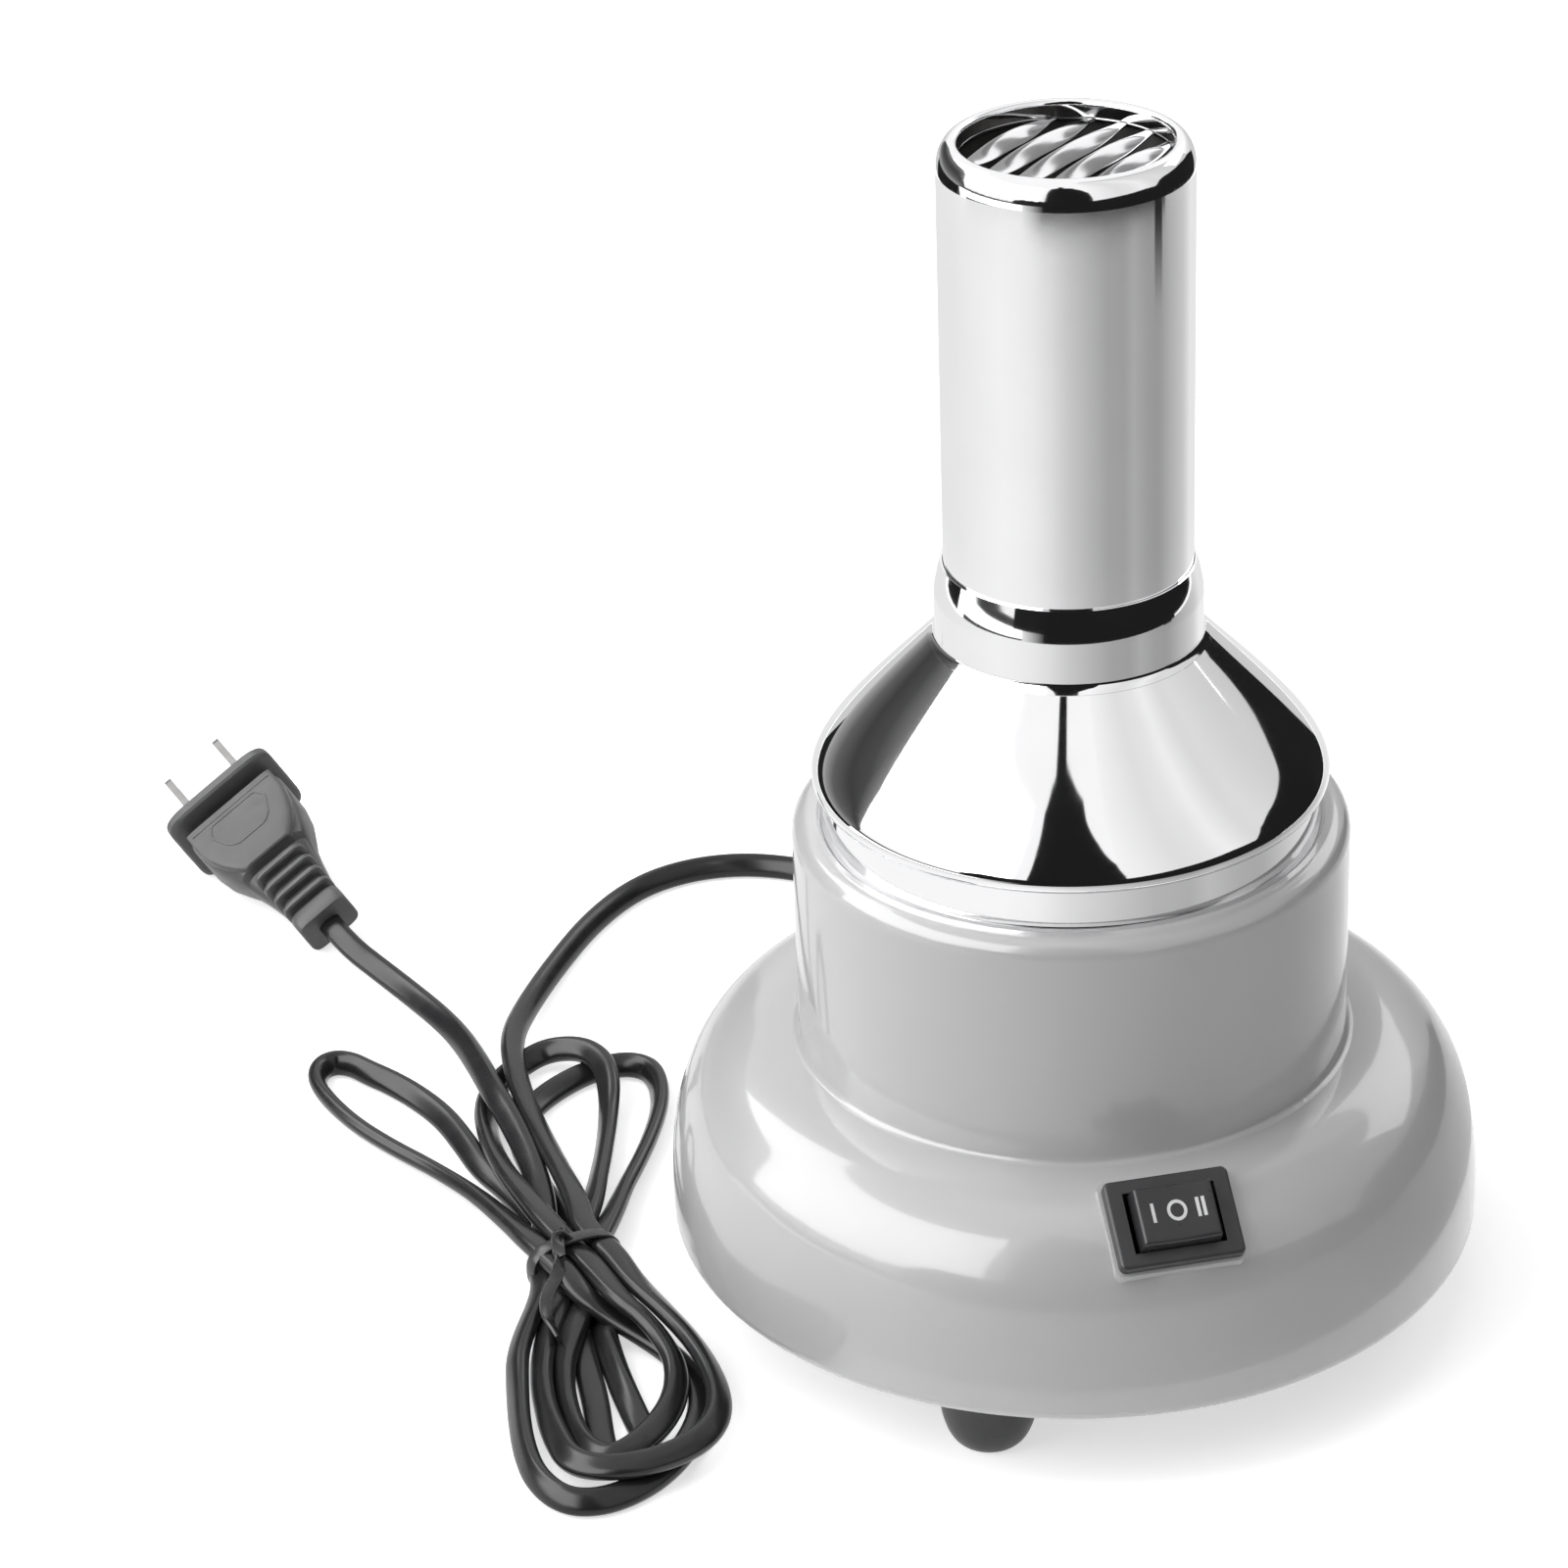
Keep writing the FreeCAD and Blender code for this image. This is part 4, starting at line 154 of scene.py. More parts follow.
CHROME = dict(metallic=1.0, tint=0.012, patch=90.0, grain=2600.0, depth=0.000004, strength=0.08)
STEEL = dict(metallic=1.0, tint=0.08, patch=220.0, grain=1800.0, depth=0.00002, wear_and_highlight=0.3)
MOULDED = dict(tint=0.05, patch=120.0, grain=2200.0, depth=0.00003, strength=0.35, wear_and_highlight=0.25)
FINISHES = {
    "housing_plastic": surface("light_grey_moulding", (0.5, 0.5, 0.503), 0.3, tint=0.012, patch=35.0,
                               grain=1500.0, depth=0.000012, strength=0.15, coat=1.0, coat_rough=0.08,
                               rough_swing=0.1),
    "base_plastic": surface("dark_base_moulding", (0.09, 0.09, 0.094), 0.48, **MOULDED),
    "foot_rubber": surface("black_rubber", (0.018, 0.018, 0.019), 0.38, tint=0.2, patch=160.0, grain=1700.0,
                           depth=0.00005, strength=0.4, wear_and_highlight=0.3, worn_and_lit=(0.06, 0.06, 0.06)),
    "dome_chrome": surface("dome_chrome_plate", (0.93, 0.93, 0.94), 0.05, **CHROME),
    "collar_chrome": surface("collar_chrome_plate", (0.93, 0.93, 0.94), 0.06, **CHROME),
    "nozzle_chrome": surface("nozzle_chrome_plate", (0.94, 0.94, 0.95), 0.07, **CHROME),
    "grille_chrome": surface("strip_chrome_plate", (0.31, 0.31, 0.314), 0.13, **CHROME),
    "screw_steel": surface("zinc_plated_steel", (0.62, 0.61, 0.58), 0.32, **STEEL),
    "carrier_steel": surface("pressed_steel", (0.5, 0.49, 0.47), 0.38, **STEEL),
    "bracket_steel": surface("bracket_plate_steel", (0.55, 0.55, 0.54), 0.36, **STEEL),
    "motor_steel": surface("motor_can_steel", (0.58, 0.57, 0.54), 0.3, **STEEL),
    "shaft_steel": surface("ground_shaft_steel", (0.7, 0.7, 0.7), 0.2, **STEEL),
    "core_steel": surface("laminated_steel", (0.33, 0.32, 0.31), 0.45, metallic=0.9, stripes=(320.0, "Z", 0.45)),
    "cutout_metal": surface("thermostat_metal", (0.68, 0.66, 0.6), 0.3, **STEEL),
    "fuse_metal": surface("fuse_can_metal", (0.74, 0.72, 0.68), 0.26, **STEEL),
    "heater_wire": surface("resistance_wire", (0.3, 0.24, 0.2), 0.42, metallic=0.9, tint=0.25, patch=260.0,
                           grain=3200.0, depth=0.00002),
    "shield_mica": surface("mica_sheet", (0.11, 0.108, 0.105), 0.4, tint=0.25, patch=180.0, grain=900.0,
                           depth=0.00004, coat=0.3, stretch=(1, 1, 0.4)),
    "former_mica": surface("mica_board", (0.2, 0.195, 0.185), 0.45, tint=0.22, patch=240.0, grain=1100.0,
                           depth=0.00005, coat=0.15, stretch=(1, 1, 0.5)),
    "shroud_plastic": surface("dark_heat_proof_moulding", (0.07, 0.068, 0.064), 0.46, **MOULDED),
    "motor_plastic": surface("motor_cap_moulding", (0.05, 0.05, 0.052), 0.42, **MOULDED),
    "fan_plastic": surface("black_fan_moulding", (0.03, 0.03, 0.032), 0.36, **MOULDED),
    "switch_plastic": surface("black_switch_moulding", (0.03, 0.03, 0.032), 0.36, tint=0.1, patch=220.0,
                              grain=2600.0, depth=0.00001, strength=0.25),
    "rocker_plastic": surface("rocker_moulding", (0.026, 0.026, 0.028), 0.3, tint=0.1, patch=120.0,
                              grain=700.0, depth=0.000005, strength=0.1),
    "bearing_bronze": surface("sintered_bronze", (0.5, 0.33, 0.18), 0.4, metallic=0.9, tint=0.2, patch=500.0,
                              grain=3600.0, depth=0.00004),
    "magnet_ferrite": surface("grey_ferrite", (0.045, 0.043, 0.042), 0.55, tint=0.3, patch=600.0, grain=2600.0,
                              depth=0.00006, strength=0.6),
    "brush_carbon": surface("pressed_carbon", (0.035, 0.035, 0.036), 0.5, tint=0.3, patch=700.0, grain=4000.0,
                            depth=0.00003),
    "winding_wire": surface("enamelled_copper", (0.45, 0.17, 0.06), 0.28, metallic=0.7, tint=0.15, patch=300.0,
                            stripes=(420.0, "Z", 0.35), coat=0.4),
    "commutator_copper": surface("turned_copper", (0.66, 0.34, 0.2), 0.24, metallic=1.0, tint=0.12,
                                 patch=400.0, stretch=(1, 1, 0.15)),
    "terminal_brass": surface("tab_brass", (0.68, 0.52, 0.26), 0.3, **STEEL),
    "clamp_plastic": surface("clamp_moulding", (0.06, 0.06, 0.062), 0.45, **MOULDED),
    "block_plastic": surface("terminal_block_moulding", (0.6, 0.59, 0.55), 0.42, **MOULDED),
    "board_laminate": surface("glass_board", (0.1, 0.2, 0.09), 0.4, tint=0.12, patch=160.0, grain=900.0,
                              depth=0.00003, stripes=(500.0, "X", 0.85), coat=0.25),
    "diode_plastic": surface("diode_epoxy", (0.02, 0.02, 0.021), 0.35, tint=0.2, patch=700.0, grain=3600.0,
                             depth=0.00002),
    "lead_sheath": surface("hook_up_sheath", (0.12, 0.12, 0.125), 0.38, tint=0.12, patch=150.0, grain=2400.0,
                           depth=0.00002),
    "cord_sheath": surface("grey_cord_sheath", (0.016, 0.016, 0.017), 0.24, tint=0.12, patch=110.0,
                           grain=1500.0, depth=0.00001, strength=0.15, specular=0.42),
    "tie_plastic": surface("tie_ribbon_plastic", (0.03, 0.03, 0.031), 0.26, tint=0.2, patch=260.0,
                           grain=2400.0, depth=0.00003, strength=0.4),
    # the plug's lighter ridges and flange edges are a painted highlight
    "plug_plastic": surface("plug_moulding", (0.072, 0.072, 0.0735), 0.4, tint=0.06, patch=150.0,
                            grain=1900.0, depth=0.00003, strength=0.35, wear_and_highlight=0.3, worn_and_lit=(0.17, 0.17, 0.173)),
    "blade_brass": surface("plated_blade", (0.15, 0.148, 0.145), 0.45, **STEEL),
}
MARK_WHITE = surface("printed_white", (0.72, 0.72, 0.72), 0.45, tint=0.05, patch=600.0, grain=4200.0,
                     depth=0.00001)


def dress(piece, material):
    if piece.material_slots:
        for held in piece.material_slots:
            held.material = material
    else:
        piece.data.materials.append(material)


for subpart in frame["record"]["subparts"]:
    dress(NODES[subpart["node"]], FINISHES[subpart["material_slot"]])


# ------------------------------------------------------------------ mesh helpers
def mesh_object(name, vertices, faces, material=None, smooth=True, crease=None):
    mesh = bpy.data.meshes.new(name)
    mesh.from_pydata([tuple(v) for v in vertices], [], faces)
    mesh.update()
    shape = bmesh.new()
    shape.from_mesh(mesh)
    bmesh.ops.recalc_face_normals(shape, faces=shape.faces)
    shape.to_mesh(mesh)
    shape.free()
    for polygon in mesh.polygons:
        polygon.use_smooth = smooth
    if crease:
        mesh.set_sharp_from_angle(angle=math.radians(crease))
    piece = bpy.data.objects.new(name, mesh)
    SCENE.collection.objects.link(piece)
    if material:
        mesh.materials.append(material)
    return piece


def spline_line(points, steps):
    """Points read from one NURBS spline that takes the given points as its control points."""
    curve = bpy.data.curves.new("route", "CURVE")
    curve.dimensions = "3D"
    spline = curve.splines.new("NURBS")
    spline.points.add(len(points) - 1)
    for target, point in zip(spline.points, points):
        target.co = (*point, 1)
    spline.order_u = 3
    spline.use_endpoint_u = True
    spline.resolution_u = steps
    holder = bpy.data.objects.new("route", curve)
    SCENE.collection.objects.link(holder)
    bpy.context.view_layer.update()
    mesh = bpy.data.meshes.new_from_object(holder)
    line = [vertex.co.copy() for vertex in mesh.vertices]
    bpy.data.meshes.remove(mesh)
    bpy.data.objects.remove(holder)
    bpy.data.curves.remove(curve)
    return line


def along(values, share):
    """Value at a share of the way along control values of a quadratic spline."""
    place = min(max(share * (len(values) - 2) + 0.5, 0), len(values) - 1)
    low = min(int(place), len(values) - 2)
    return values[low] + (values[low + 1] - values[low]) * (place - low)


def oval(half_width, half_height, power, count):
    """Points of a flattened round outline."""
    ring = []
    for i in range(count):
        angle = 2 * math.pi * i / count
        c, s = math.cos(angle), math.sin(angle)
        ring.append((math.copysign(abs(c) ** (2 / power), c) * half_width,
                     math.copysign(abs(s) ** (2 / power), s) * half_height))
    return ring


def skinned(rings, closed=False):
    """Vertices and faces of a skin over rings of equally many points, capped at its ends unless closed."""
    count = len(rings[0])
    vertices = [point for loop in rings for point in loop]
    faces = []
    for i in range(len(rings) if closed else len(rings) - 1):
        start, after = i * count, (i + 1) % len(rings) * count
        for k in range(count):
            m = (k + 1) % count
            faces.append((start + k, start + m, after + m, after + k))
    if not closed:
        faces.append(tuple(range(count)))
        faces.append(tuple(range(len(vertices) - count, len(vertices))))
    return vertices, faces


def lathe(profile, count=200):
    """A closed profile of radii and heights in millimetres, turned about the upright axis."""
    return skinned([[Vector((r * math.cos(turn), r * math.sin(turn), z)) * MILLI for r, z in profile]
                    for turn in (2 * math.pi * i / count for i in range(count))], closed=True)


def joined(skins):
    """One list of vertices and one of faces from several skins."""
    vertices, faces = [], []
    for points, sides in skins:
        start = len(vertices)
        vertices += points
        faces += [tuple(start + k for k in side) for side in sides]
    return vertices, faces


def swept(line, ring_at, roll_at):
    """Vertices and faces of a tube whose rings stand across the line, turned by their roll."""
    rings = []
    last = len(line) - 1
    for i, point in enumerate(line):
        share = i / last
        forward = (line[min(i + 1, last)] - line[max(i - 1, 0)]).normalized()
        side = forward.cross(Vector((0, 0, 1)))
        side = side.normalized() if side.length > 1e-4 else Vector((1, 0, 0))
        up = side.cross(forward)
        roll = roll_at(share)
        broad = math.cos(roll) * side + math.sin(roll) * up
        thin = -math.sin(roll) * side + math.cos(roll) * up
        rings.append([point + broad * a + thin * b for a, b in ring_at(share)])
    return skinned(rings)


# ------------------------------------------------------------------ the lead
CORD_WIDTH = 0.0048
CORD_THICKNESS = 0.003
CORD_POWER = 2.6
CORD_STEPS = 8
PLUG_ROLL = 31
# each point: x, y, z of the centreline and the roll of the flat section in degrees
CORD_POINTS = [
    (0, 0.094, 0.027, 0), (0, 0.1065, 0.027, 10), (-0.001, 0.12, 0.0195, 25), (-0.0035, 0.1315, 0.0076, 40),
    (-0.0105, 0.1415, 0.0026, 50), (-0.019, 0.149, 0.0023, 58), (-0.029, 0.1528, 0.0024, 60),
    (-0.04, 0.1526, 0.0024, 60), (-0.0505, 0.148, 0.0024, 60), (-0.061, 0.1375, 0.0023, 58),
    (-0.071, 0.1225, 0.0023, 55), (-0.08, 0.1055, 0.0034, 48), (-0.0851, 0.0909, 0.006, 38),
    (-0.0865, 0.0776, 0.0068, 34), (-0.0863, 0.0666, 0.0062, 36), (-0.0853, 0.0549, 0.006, 42),
    (-0.0843, 0.042, 0.0066, 38), (-0.0835, 0.0291, 0.0078, 22), (-0.0841, 0.0195, 0.0082, 6),
    (-0.0806, 0.0107, 0.0082, 8), (-0.0786, 0.0017, 0.0074, 25), (-0.0749, -0.0075, 0.0066, 42),
    (-0.072, -0.0161, 0.006, 48), (-0.0704, -0.0255, 0.0056, 48), (-0.0707, -0.0343, 0.0055, 42),
    (-0.0733, -0.0413, 0.0055, 34), (-0.0782, -0.0462, 0.0057, 24), (-0.0855, -0.049, 0.0059, 16),
    (-0.0932, -0.0487, 0.0058, 18), (-0.0983, -0.0442, 0.005, 34), (-0.0992, -0.0347, 0.0038, 40),
    (-0.0992, -0.0246, 0.0027, 58), (-0.0981, -0.014, 0.0026, 52), (-0.0955, -0.0052, 0.0032, 30),
    (-0.0924, 0.0008, 0.0044, 10), (-0.0887, 0.0081, 0.0052, 4), (-0.0868, 0.0185, 0.0052, 4),
    (-0.0812, 0.0304, 0.0044, 30), (-0.0777, 0.0417, 0.0032, 55), (-0.0741, 0.054, 0.0024, 62),
    (-0.0712, 0.0652, 0.0026, 56), (-0.0697, 0.0722, 0.0048, 42), (-0.0696, 0.0791, 0.0056, 36),
    (-0.0725, 0.0855, 0.0052, 40), (-0.0786, 0.0895, 0.0034, 48), (-0.0847, 0.0868, 0.0022, 38),
    (-0.0902, 0.0812, 0.0019, 28), (-0.0933, 0.0729, 0.0021, 40), (-0.0946, 0.0606, 0.0036, 48),
    (-0.0943, 0.047, 0.0058, 38), (-0.0921, 0.0334, 0.0076, 18), (-0.09, 0.0226, 0.0084, 8),
    (-0.087, 0.0136, 0.0082, 4), (-0.0847, 0.007, 0.0082, 10), (-0.0821, -0.0036, 0.008, 28),
    (-0.0792, -0.0085, 0.0072, 42), (-0.0769, -0.0149, 0.0062, 46), (-0.0758, -0.0219, 0.0052, 48),
    (-0.0773, -0.0288, 0.0042, 44), (-0.081, -0.036, 0.0044, 30), (-0.0859, -0.0419, 0.005, 20),
    (-0.0897, -0.0445, 0.005, 20), (-0.0928, -0.0438, 0.0046, 24), (-0.0951, -0.0395, 0.0038, 34),
    (-0.0958, -0.0317, 0.0025, 46), (-0.0955, -0.0224, 0.0023, 54), (-0.0941, -0.0135, 0.0027, 42),
    (-0.0912, -0.0059, 0.0038, 15), (-0.0837, 0.009, 0.005, 5), (-0.0825, 0.0186, 0.0052, 5),
    (-0.0777, 0.0283, 0.0038, 35), (-0.0734, 0.0388, 0.0026, 58), (-0.0685, 0.0483, 0.0024, 65),
    (-0.0644, 0.0573, 0.0024, 65), (-0.0613, 0.0659, 0.0024, 65), (-0.0601, 0.0737, 0.0024, 65),
    (-0.0609, 0.0795, 0.0024, 62), (-0.0651, 0.0826, 0.0022, 44), (-0.0716, 0.0822, 0.0018, 22),
    (-0.0784, 0.0779, 0.002, 30), (-0.0842, 0.0727, 0.0018, 22), (-0.0881, 0.0659, 0.0021, 38),
    (-0.0893, 0.0574, 0.0022, 46), (-0.088, 0.0471, 0.002, 30), (-0.0864, 0.0385, 0.0017, 8),
    (-0.0862, 0.0299, 0.0018, 0), (-0.086, 0.0172, 0.0021, 0), (-0.0835, 0.0091, 0.0021, -8),
    (-0.0849, 0.0027, 0.002, -20), (-0.0855, -0.0077, 0.0022, -40), (-0.0855, -0.0182, 0.0022, -42),
    (-0.0848, -0.0286, 0.0018, -20), (-0.0842, -0.0348, 0.0016, -5), (-0.0841, -0.0406, 0.0016, 0),
    (-0.0862, -0.0428, 0.0016, 0), (-0.0894, -0.0428, 0.0016, 0), (-0.0916, -0.0406, 0.0016, 2),
    (-0.0915, -0.0343, 0.0016, 4), (-0.0904, -0.0243, 0.0016, 8), (-0.09, -0.0128, 0.0016, 6),
    (-0.0896, -0.001, 0.0017, 2), (-0.0884, 0.0077, 0.0021, 0), (-0.091, 0.0168, 0.0021, 0),
    (-0.0904, 0.0291, 0.0017, 0), (-0.0912, 0.0375, 0.0017, 10), (-0.0938, 0.0461, 0.0018, 18),
    (-0.097, 0.0537, 0.0019, 28), (-0.0987, 0.0626, 0.002, 34), (-0.1008, 0.0722, 0.0021, 36),
    (-0.1044, 0.0807, 0.0021, 40), (-0.1086, 0.0874, 0.0023, 52), (-0.1121, 0.0917, 0.0024, 64),
    (-0.1151, 0.0962, 0.0024, 72), (-0.1184, 0.0977, 0.0024, 72), (-0.1213, 0.0956, 0.0024, 72),
    (-0.1225, 0.0906, 0.0024, 68), (-0.1207, 0.0829, 0.0024, 62), (-0.1171, 0.0738, 0.0023, 54),
    (-0.1118, 0.0647, 0.0022, 48), (-0.1057, 0.0553, 0.0024, 46), (-0.1, 0.0427, 0.0038, 40),
    (-0.096, 0.028, 0.0062, 24), (-0.0936, 0.0169, 0.0082, 8), (-0.0901, 0.0081, 0.0082, 6),
    (-0.088, 0.0006, 0.0072, 10), (-0.0835, -0.0033, 0.0042, 10), (-0.0783, -0.0082, 0.0022, 10),
    (-0.0746, -0.0149, 0.0017, 14), (-0.0726, -0.0225, 0.0018, 18), (-0.0732, -0.0306, 0.0018, 20),
    (-0.0764, -0.038, 0.0018, 20), (-0.0814, -0.0449, 0.0018, 22), (-0.0878, -0.0503, 0.002, 30),
    (-0.0949, -0.0528, 0.0022, 44), (-0.1007, -0.051, 0.0023, 56), (-0.1041, -0.0438, 0.0023, 58),
    (-0.1046, -0.0351, 0.0023, 58), (-0.1039, -0.026, 0.0023, 58), (-0.1025, -0.0161, 0.0024, 52),
    (-0.1008, -0.007, 0.0036, 46), (-0.0934, 0.0071, 0.0052, 38), (-0.0927, 0.015, 0.0052, 6),
    (-0.0897, 0.0274, 0.0047, 6), (-0.0885, 0.0384, 0.005, 18), (-0.0888, 0.0498, 0.0054, 30),
    (-0.0899, 0.0614, 0.006, 32), (-0.0915, 0.0715, 0.0066, 30), (-0.0923, 0.0841, 0.0052, 34),
    (-0.0935, 0.0985, 0.003, 40), (-0.0959, 0.109, 0.0021, 40), (-0.1002, 0.12, 0.0021, 38),
    (-0.1049, 0.1294, 0.003, 34), (-0.10952, 0.13726, 0.00448, PLUG_ROLL),
    (-0.11218, 0.14467, 0.00592, PLUG_ROLL),
]

cord_line = spline_line([point[:3] for point in CORD_POINTS], CORD_STEPS)
cord_rolls = [point[3] for point in CORD_POINTS]
cord_ring = oval(CORD_WIDTH / 2, CORD_THICKNESS / 2, CORD_POWER, 22)
cord = mesh_object("power_cord", *swept(cord_line, lambda share: cord_ring,
                                        lambda share: math.radians(along(cord_rolls, share))),
                   FINISHES["cord_sheath"])
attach(cord, "housing")
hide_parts("mains_cord", "cord_hank", "cord_tail")

# ------------------------------------------------------------------ the tie round the hank
TIE_CENTRE = Vector((-0.087, 0.0136, 0))
TIE_ACROSS = Vector((0.93, 0.36, 0))
TIE_ALONG = Vector((-0.36, 0.93, 0))
TIE_HALF_SPAN = 0.0081
TIE_MIDDLE = 0.0054
TIE_HALF_RISE = 0.0051
TIE_HALF_THICKNESS = 0.00035
TIE_RIBBON = oval(0.0014, TIE_HALF_THICKNESS, 4, 12)


def tie_point(across, lengthwise, height):
    return TIE_CENTRE + TIE_ACROSS * across + TIE_ALONG * lengthwise + Vector((0, 0, height))


def tie_loop(count=72):
    """The ribbon's closed turn round the strands."""
    rings = []
    path = oval(TIE_HALF_SPAN, TIE_HALF_RISE, 2.8, count)
    for i, (across, rise) in enumerate(path):
        after, before = path[(i + 1) % count], path[i - 1]
        outward = Vector((after[1] - before[1], before[0] - after[0])).normalized()
        middle = tie_point(across, -0.0012 * across / TIE_HALF_SPAN, TIE_MIDDLE + rise)
        face = TIE_ACROSS * outward.x + Vector((0, 0, outward.y))
        rings.append([middle + TIE_ALONG * a + face * b for a, b in TIE_RIBBON])
    return skinned(rings, closed=True)


def twisted_ribbon(controls, half_width, turns):
    """A ribbon along a spline through control points, its flat side turning on the way."""
    line = spline_line(controls, 8)
    section = oval(half_width, TIE_HALF_THICKNESS, 4, 12)
    return swept(line, lambda share: section, lambda share: math.radians(along(turns, share)))


TIE_STUB = [tie_point(0.0006, 0.0028, 0.0098), tie_point(-0.0012, 0.0016, 0.0112), tie_point(-0.003, 0.0004, 0.0116),
            tie_point(-0.0042, -0.0022, 0.0114), tie_point(-0.0056, -0.0046, 0.0106),
            tie_point(-0.0072, -0.0068, 0.0094), tie_point(-0.0098, -0.0082, 0.0082),
            tie_point(-0.0122, -0.0104, 0.0072), tie_point(-0.0136, -0.0132, 0.0064),
            tie_point(-0.0142, -0.0164, 0.0058), tie_point(-0.0146, -0.0186, 0.0052)]
tie = mesh_object("hank_tie", *joined([
    tie_loop(),
    twisted_ribbon(TIE_STUB, 0.0012, [20, 70, 10, -20, 60, 20, 10, 20, 30, 60, 75]),
    twisted_ribbon([tie_point(-0.0006, 0.0002, 0.0102), tie_point(-0.0022, 0.0004, 0.0118),
                    tie_point(-0.0036, -0.0006, 0.0122), tie_point(-0.0046, -0.0026, 0.0118),
                    tie_point(-0.0052, -0.0044, 0.0108)], 0.0011, [0, -60, -120, -180, -240]),
]), FINISHES["tie_plastic"], crease=40)
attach(tie, "housing")
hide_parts("cord_tie")

# ------------------------------------------------------------------ the plug
PLUG_PLACE = (Matrix.Translation((-0.1264, 0.1841, 0.01355)) @ Matrix.Rotation(math.radians(109.8), 4, "Z")
              @ Matrix.Rotation(math.radians(-10.3), 4, "Y") @ Matrix.Rotation(math.radians(-PLUG_ROLL), 4, "X"))
# stations along the plug in millimetres: place, half width, half height, squareness, lift
PLUG_FLANGE = [(0, 11.8, 8.6, 7, 0.42), (-0.25, 12.5, 9.3, 7, 0.42), (-0.9, 13.0, 9.8, 7, 0.42),
               (-2.5, 13.0, 9.8, 7, 0.42), (-3.0, 12.6, 9.4, 7, 0.42), (-3.2, 12.0, 8.8, 7, 0.42)]
PLUG_BODY = [(-3.0, 10.4, 5.2, 5, 0), (-5.2, 10.4, 5.2, 5, 0), (-5.3, 11.1, 6.3, 5, 0), (-5.8, 11.4, 6.5, 5, 0),
             (-11, 11.3, 6.4, 5, 0), (-15.5, 10.5, 6.2, 4.5, 0), (-19, 9.2, 5.9, 4, 0), (-21.6, 8.1, 5.6, 4, 0),
             (-22.2, 7.8, 4.2, 4, -0.6), (-26, 6.9, 3.0, 3.5, -1.2), (-31, 6.0, 2.6, 3.5, -1.2),
             (-37, 5.4, 2.4, 3.5, -1.0)]
PLUG_PLATE = [(-5.3, 10.2, 1.0, 8, 6.3), (-5.5, 10.8, 1.3, 8, 6.3), (-11, 10.9, 1.3, 8, 6.1),
              (-14.5, 10.2, 1.3, 8, 5.8), (-17.5, 9.0, 1.3, 7, 5.5), (-20, 7.4, 1.3, 6, 5.2),
              (-21.5, 6.2, 1.2, 6, 5.0), (-21.8, 5.7, 0.9, 6, 5.0)]
PLUG_RELIEF_END = -38.4
PLUG_COLLAR = [(-38.1, 4.9, 3.5, 6, 0), (-38.4, 5.6, 4.2, 6, 0), (-38.9, 5.8, 4.4, 6, 0), (-42.1, 5.8, 4.4, 6, 0),
               (-42.5, 5.6, 4.2, 6, 0), (-42.6, 5.2, 3.8, 6, 0)]
PLUG_RIBS = 4
PLUG_RELIEF_START = -21.8
PANEL = [(-7.9, 5.1), (-8.4, 5.9), (-10.2, 6.8), (-10.9, 6.7), (-14.4, 5.2), (-15.5, 4.0), (-15.9, 2.9)]
PANEL_LINE = 0.28
CROSS_LINE = 0.22
CROSS_LINE_PLACE = -6.9
LINE_FLATNESS = 0.6
PLATE_HIGHEST = 7.0


def plug_point(x, y, z):
    return PLUG_PLACE @ Vector((x * MILLI, y * MILLI, z * MILLI))


def plug_skin(stations, count=48):
    return skinned([[plug_point(x, y, z + lift) for y, z in oval(half_width, half_height, power, count)]
                    for x, half_width, half_height, power, lift in stations])


def plug_relief():
    """The grooved stretch between the plug's body and its collar."""
    stations = [(PLUG_RELIEF_START + 0.6, 5.0, 3.4, 6, 0)]
    pitch = (PLUG_RELIEF_START - PLUG_RELIEF_END) / (PLUG_RIBS + 0.55)
    for i in range(PLUG_RIBS):
        middle = PLUG_RELIEF_START - pitch * (i + 0.78)
        half_width, half_height = 6.1 - 0.12 * i, 5.3 - 0.25 * i
        for x, inset in ((0.85, 2.0), (0.8, 0.45), (0.5, 0.05), (0.3, 0), (-0.3, 0), (-0.5, 0.05), (-0.8, 0.45),
                         (-0.85, 2.0)):
            stations.append((middle + x, half_width - min(inset, 1.0), half_height - inset, 6, 0))
    stations.append((PLUG_RELIEF_END, 4.7, 2.6, 6, 0))
    return plug_skin(stations)


def plate_top(x):
    """Height of the plug's raised plate above its middle at a place along it."""
    for (low, _, half, _, lift), (high, _, half_after, _, lift_after) in zip(PLUG_PLATE[1:], PLUG_PLATE[2:]):
        if high <= x <= low:
            share = (x - low) / (high - low)
            return lift + half + (lift_after + half_after - lift - half) * share
    return PLATE_HIGHEST


def raised_line(places, radius, closed):
    """A fine moulded line that lies on the plug's raised plate."""
    rings = []
    count = len(places)
    for i, (x, y) in enumerate(places):
        before = places[i - 1] if closed or i else places[i]
        after = places[(i + 1) % count] if closed or i < count - 1 else places[i]
        forward = Vector((after[0] - before[0], after[1] - before[1])).normalized()
        rings.append([plug_point(x - forward.y * radius * math.cos(t), y + forward.x * radius * math.cos(t),
                                 plate_top(x) + LINE_FLATNESS * radius * math.sin(t))
                      for t in (2 * math.pi * k / 8 for k in range(8))])
    return skinned(rings, closed=closed)


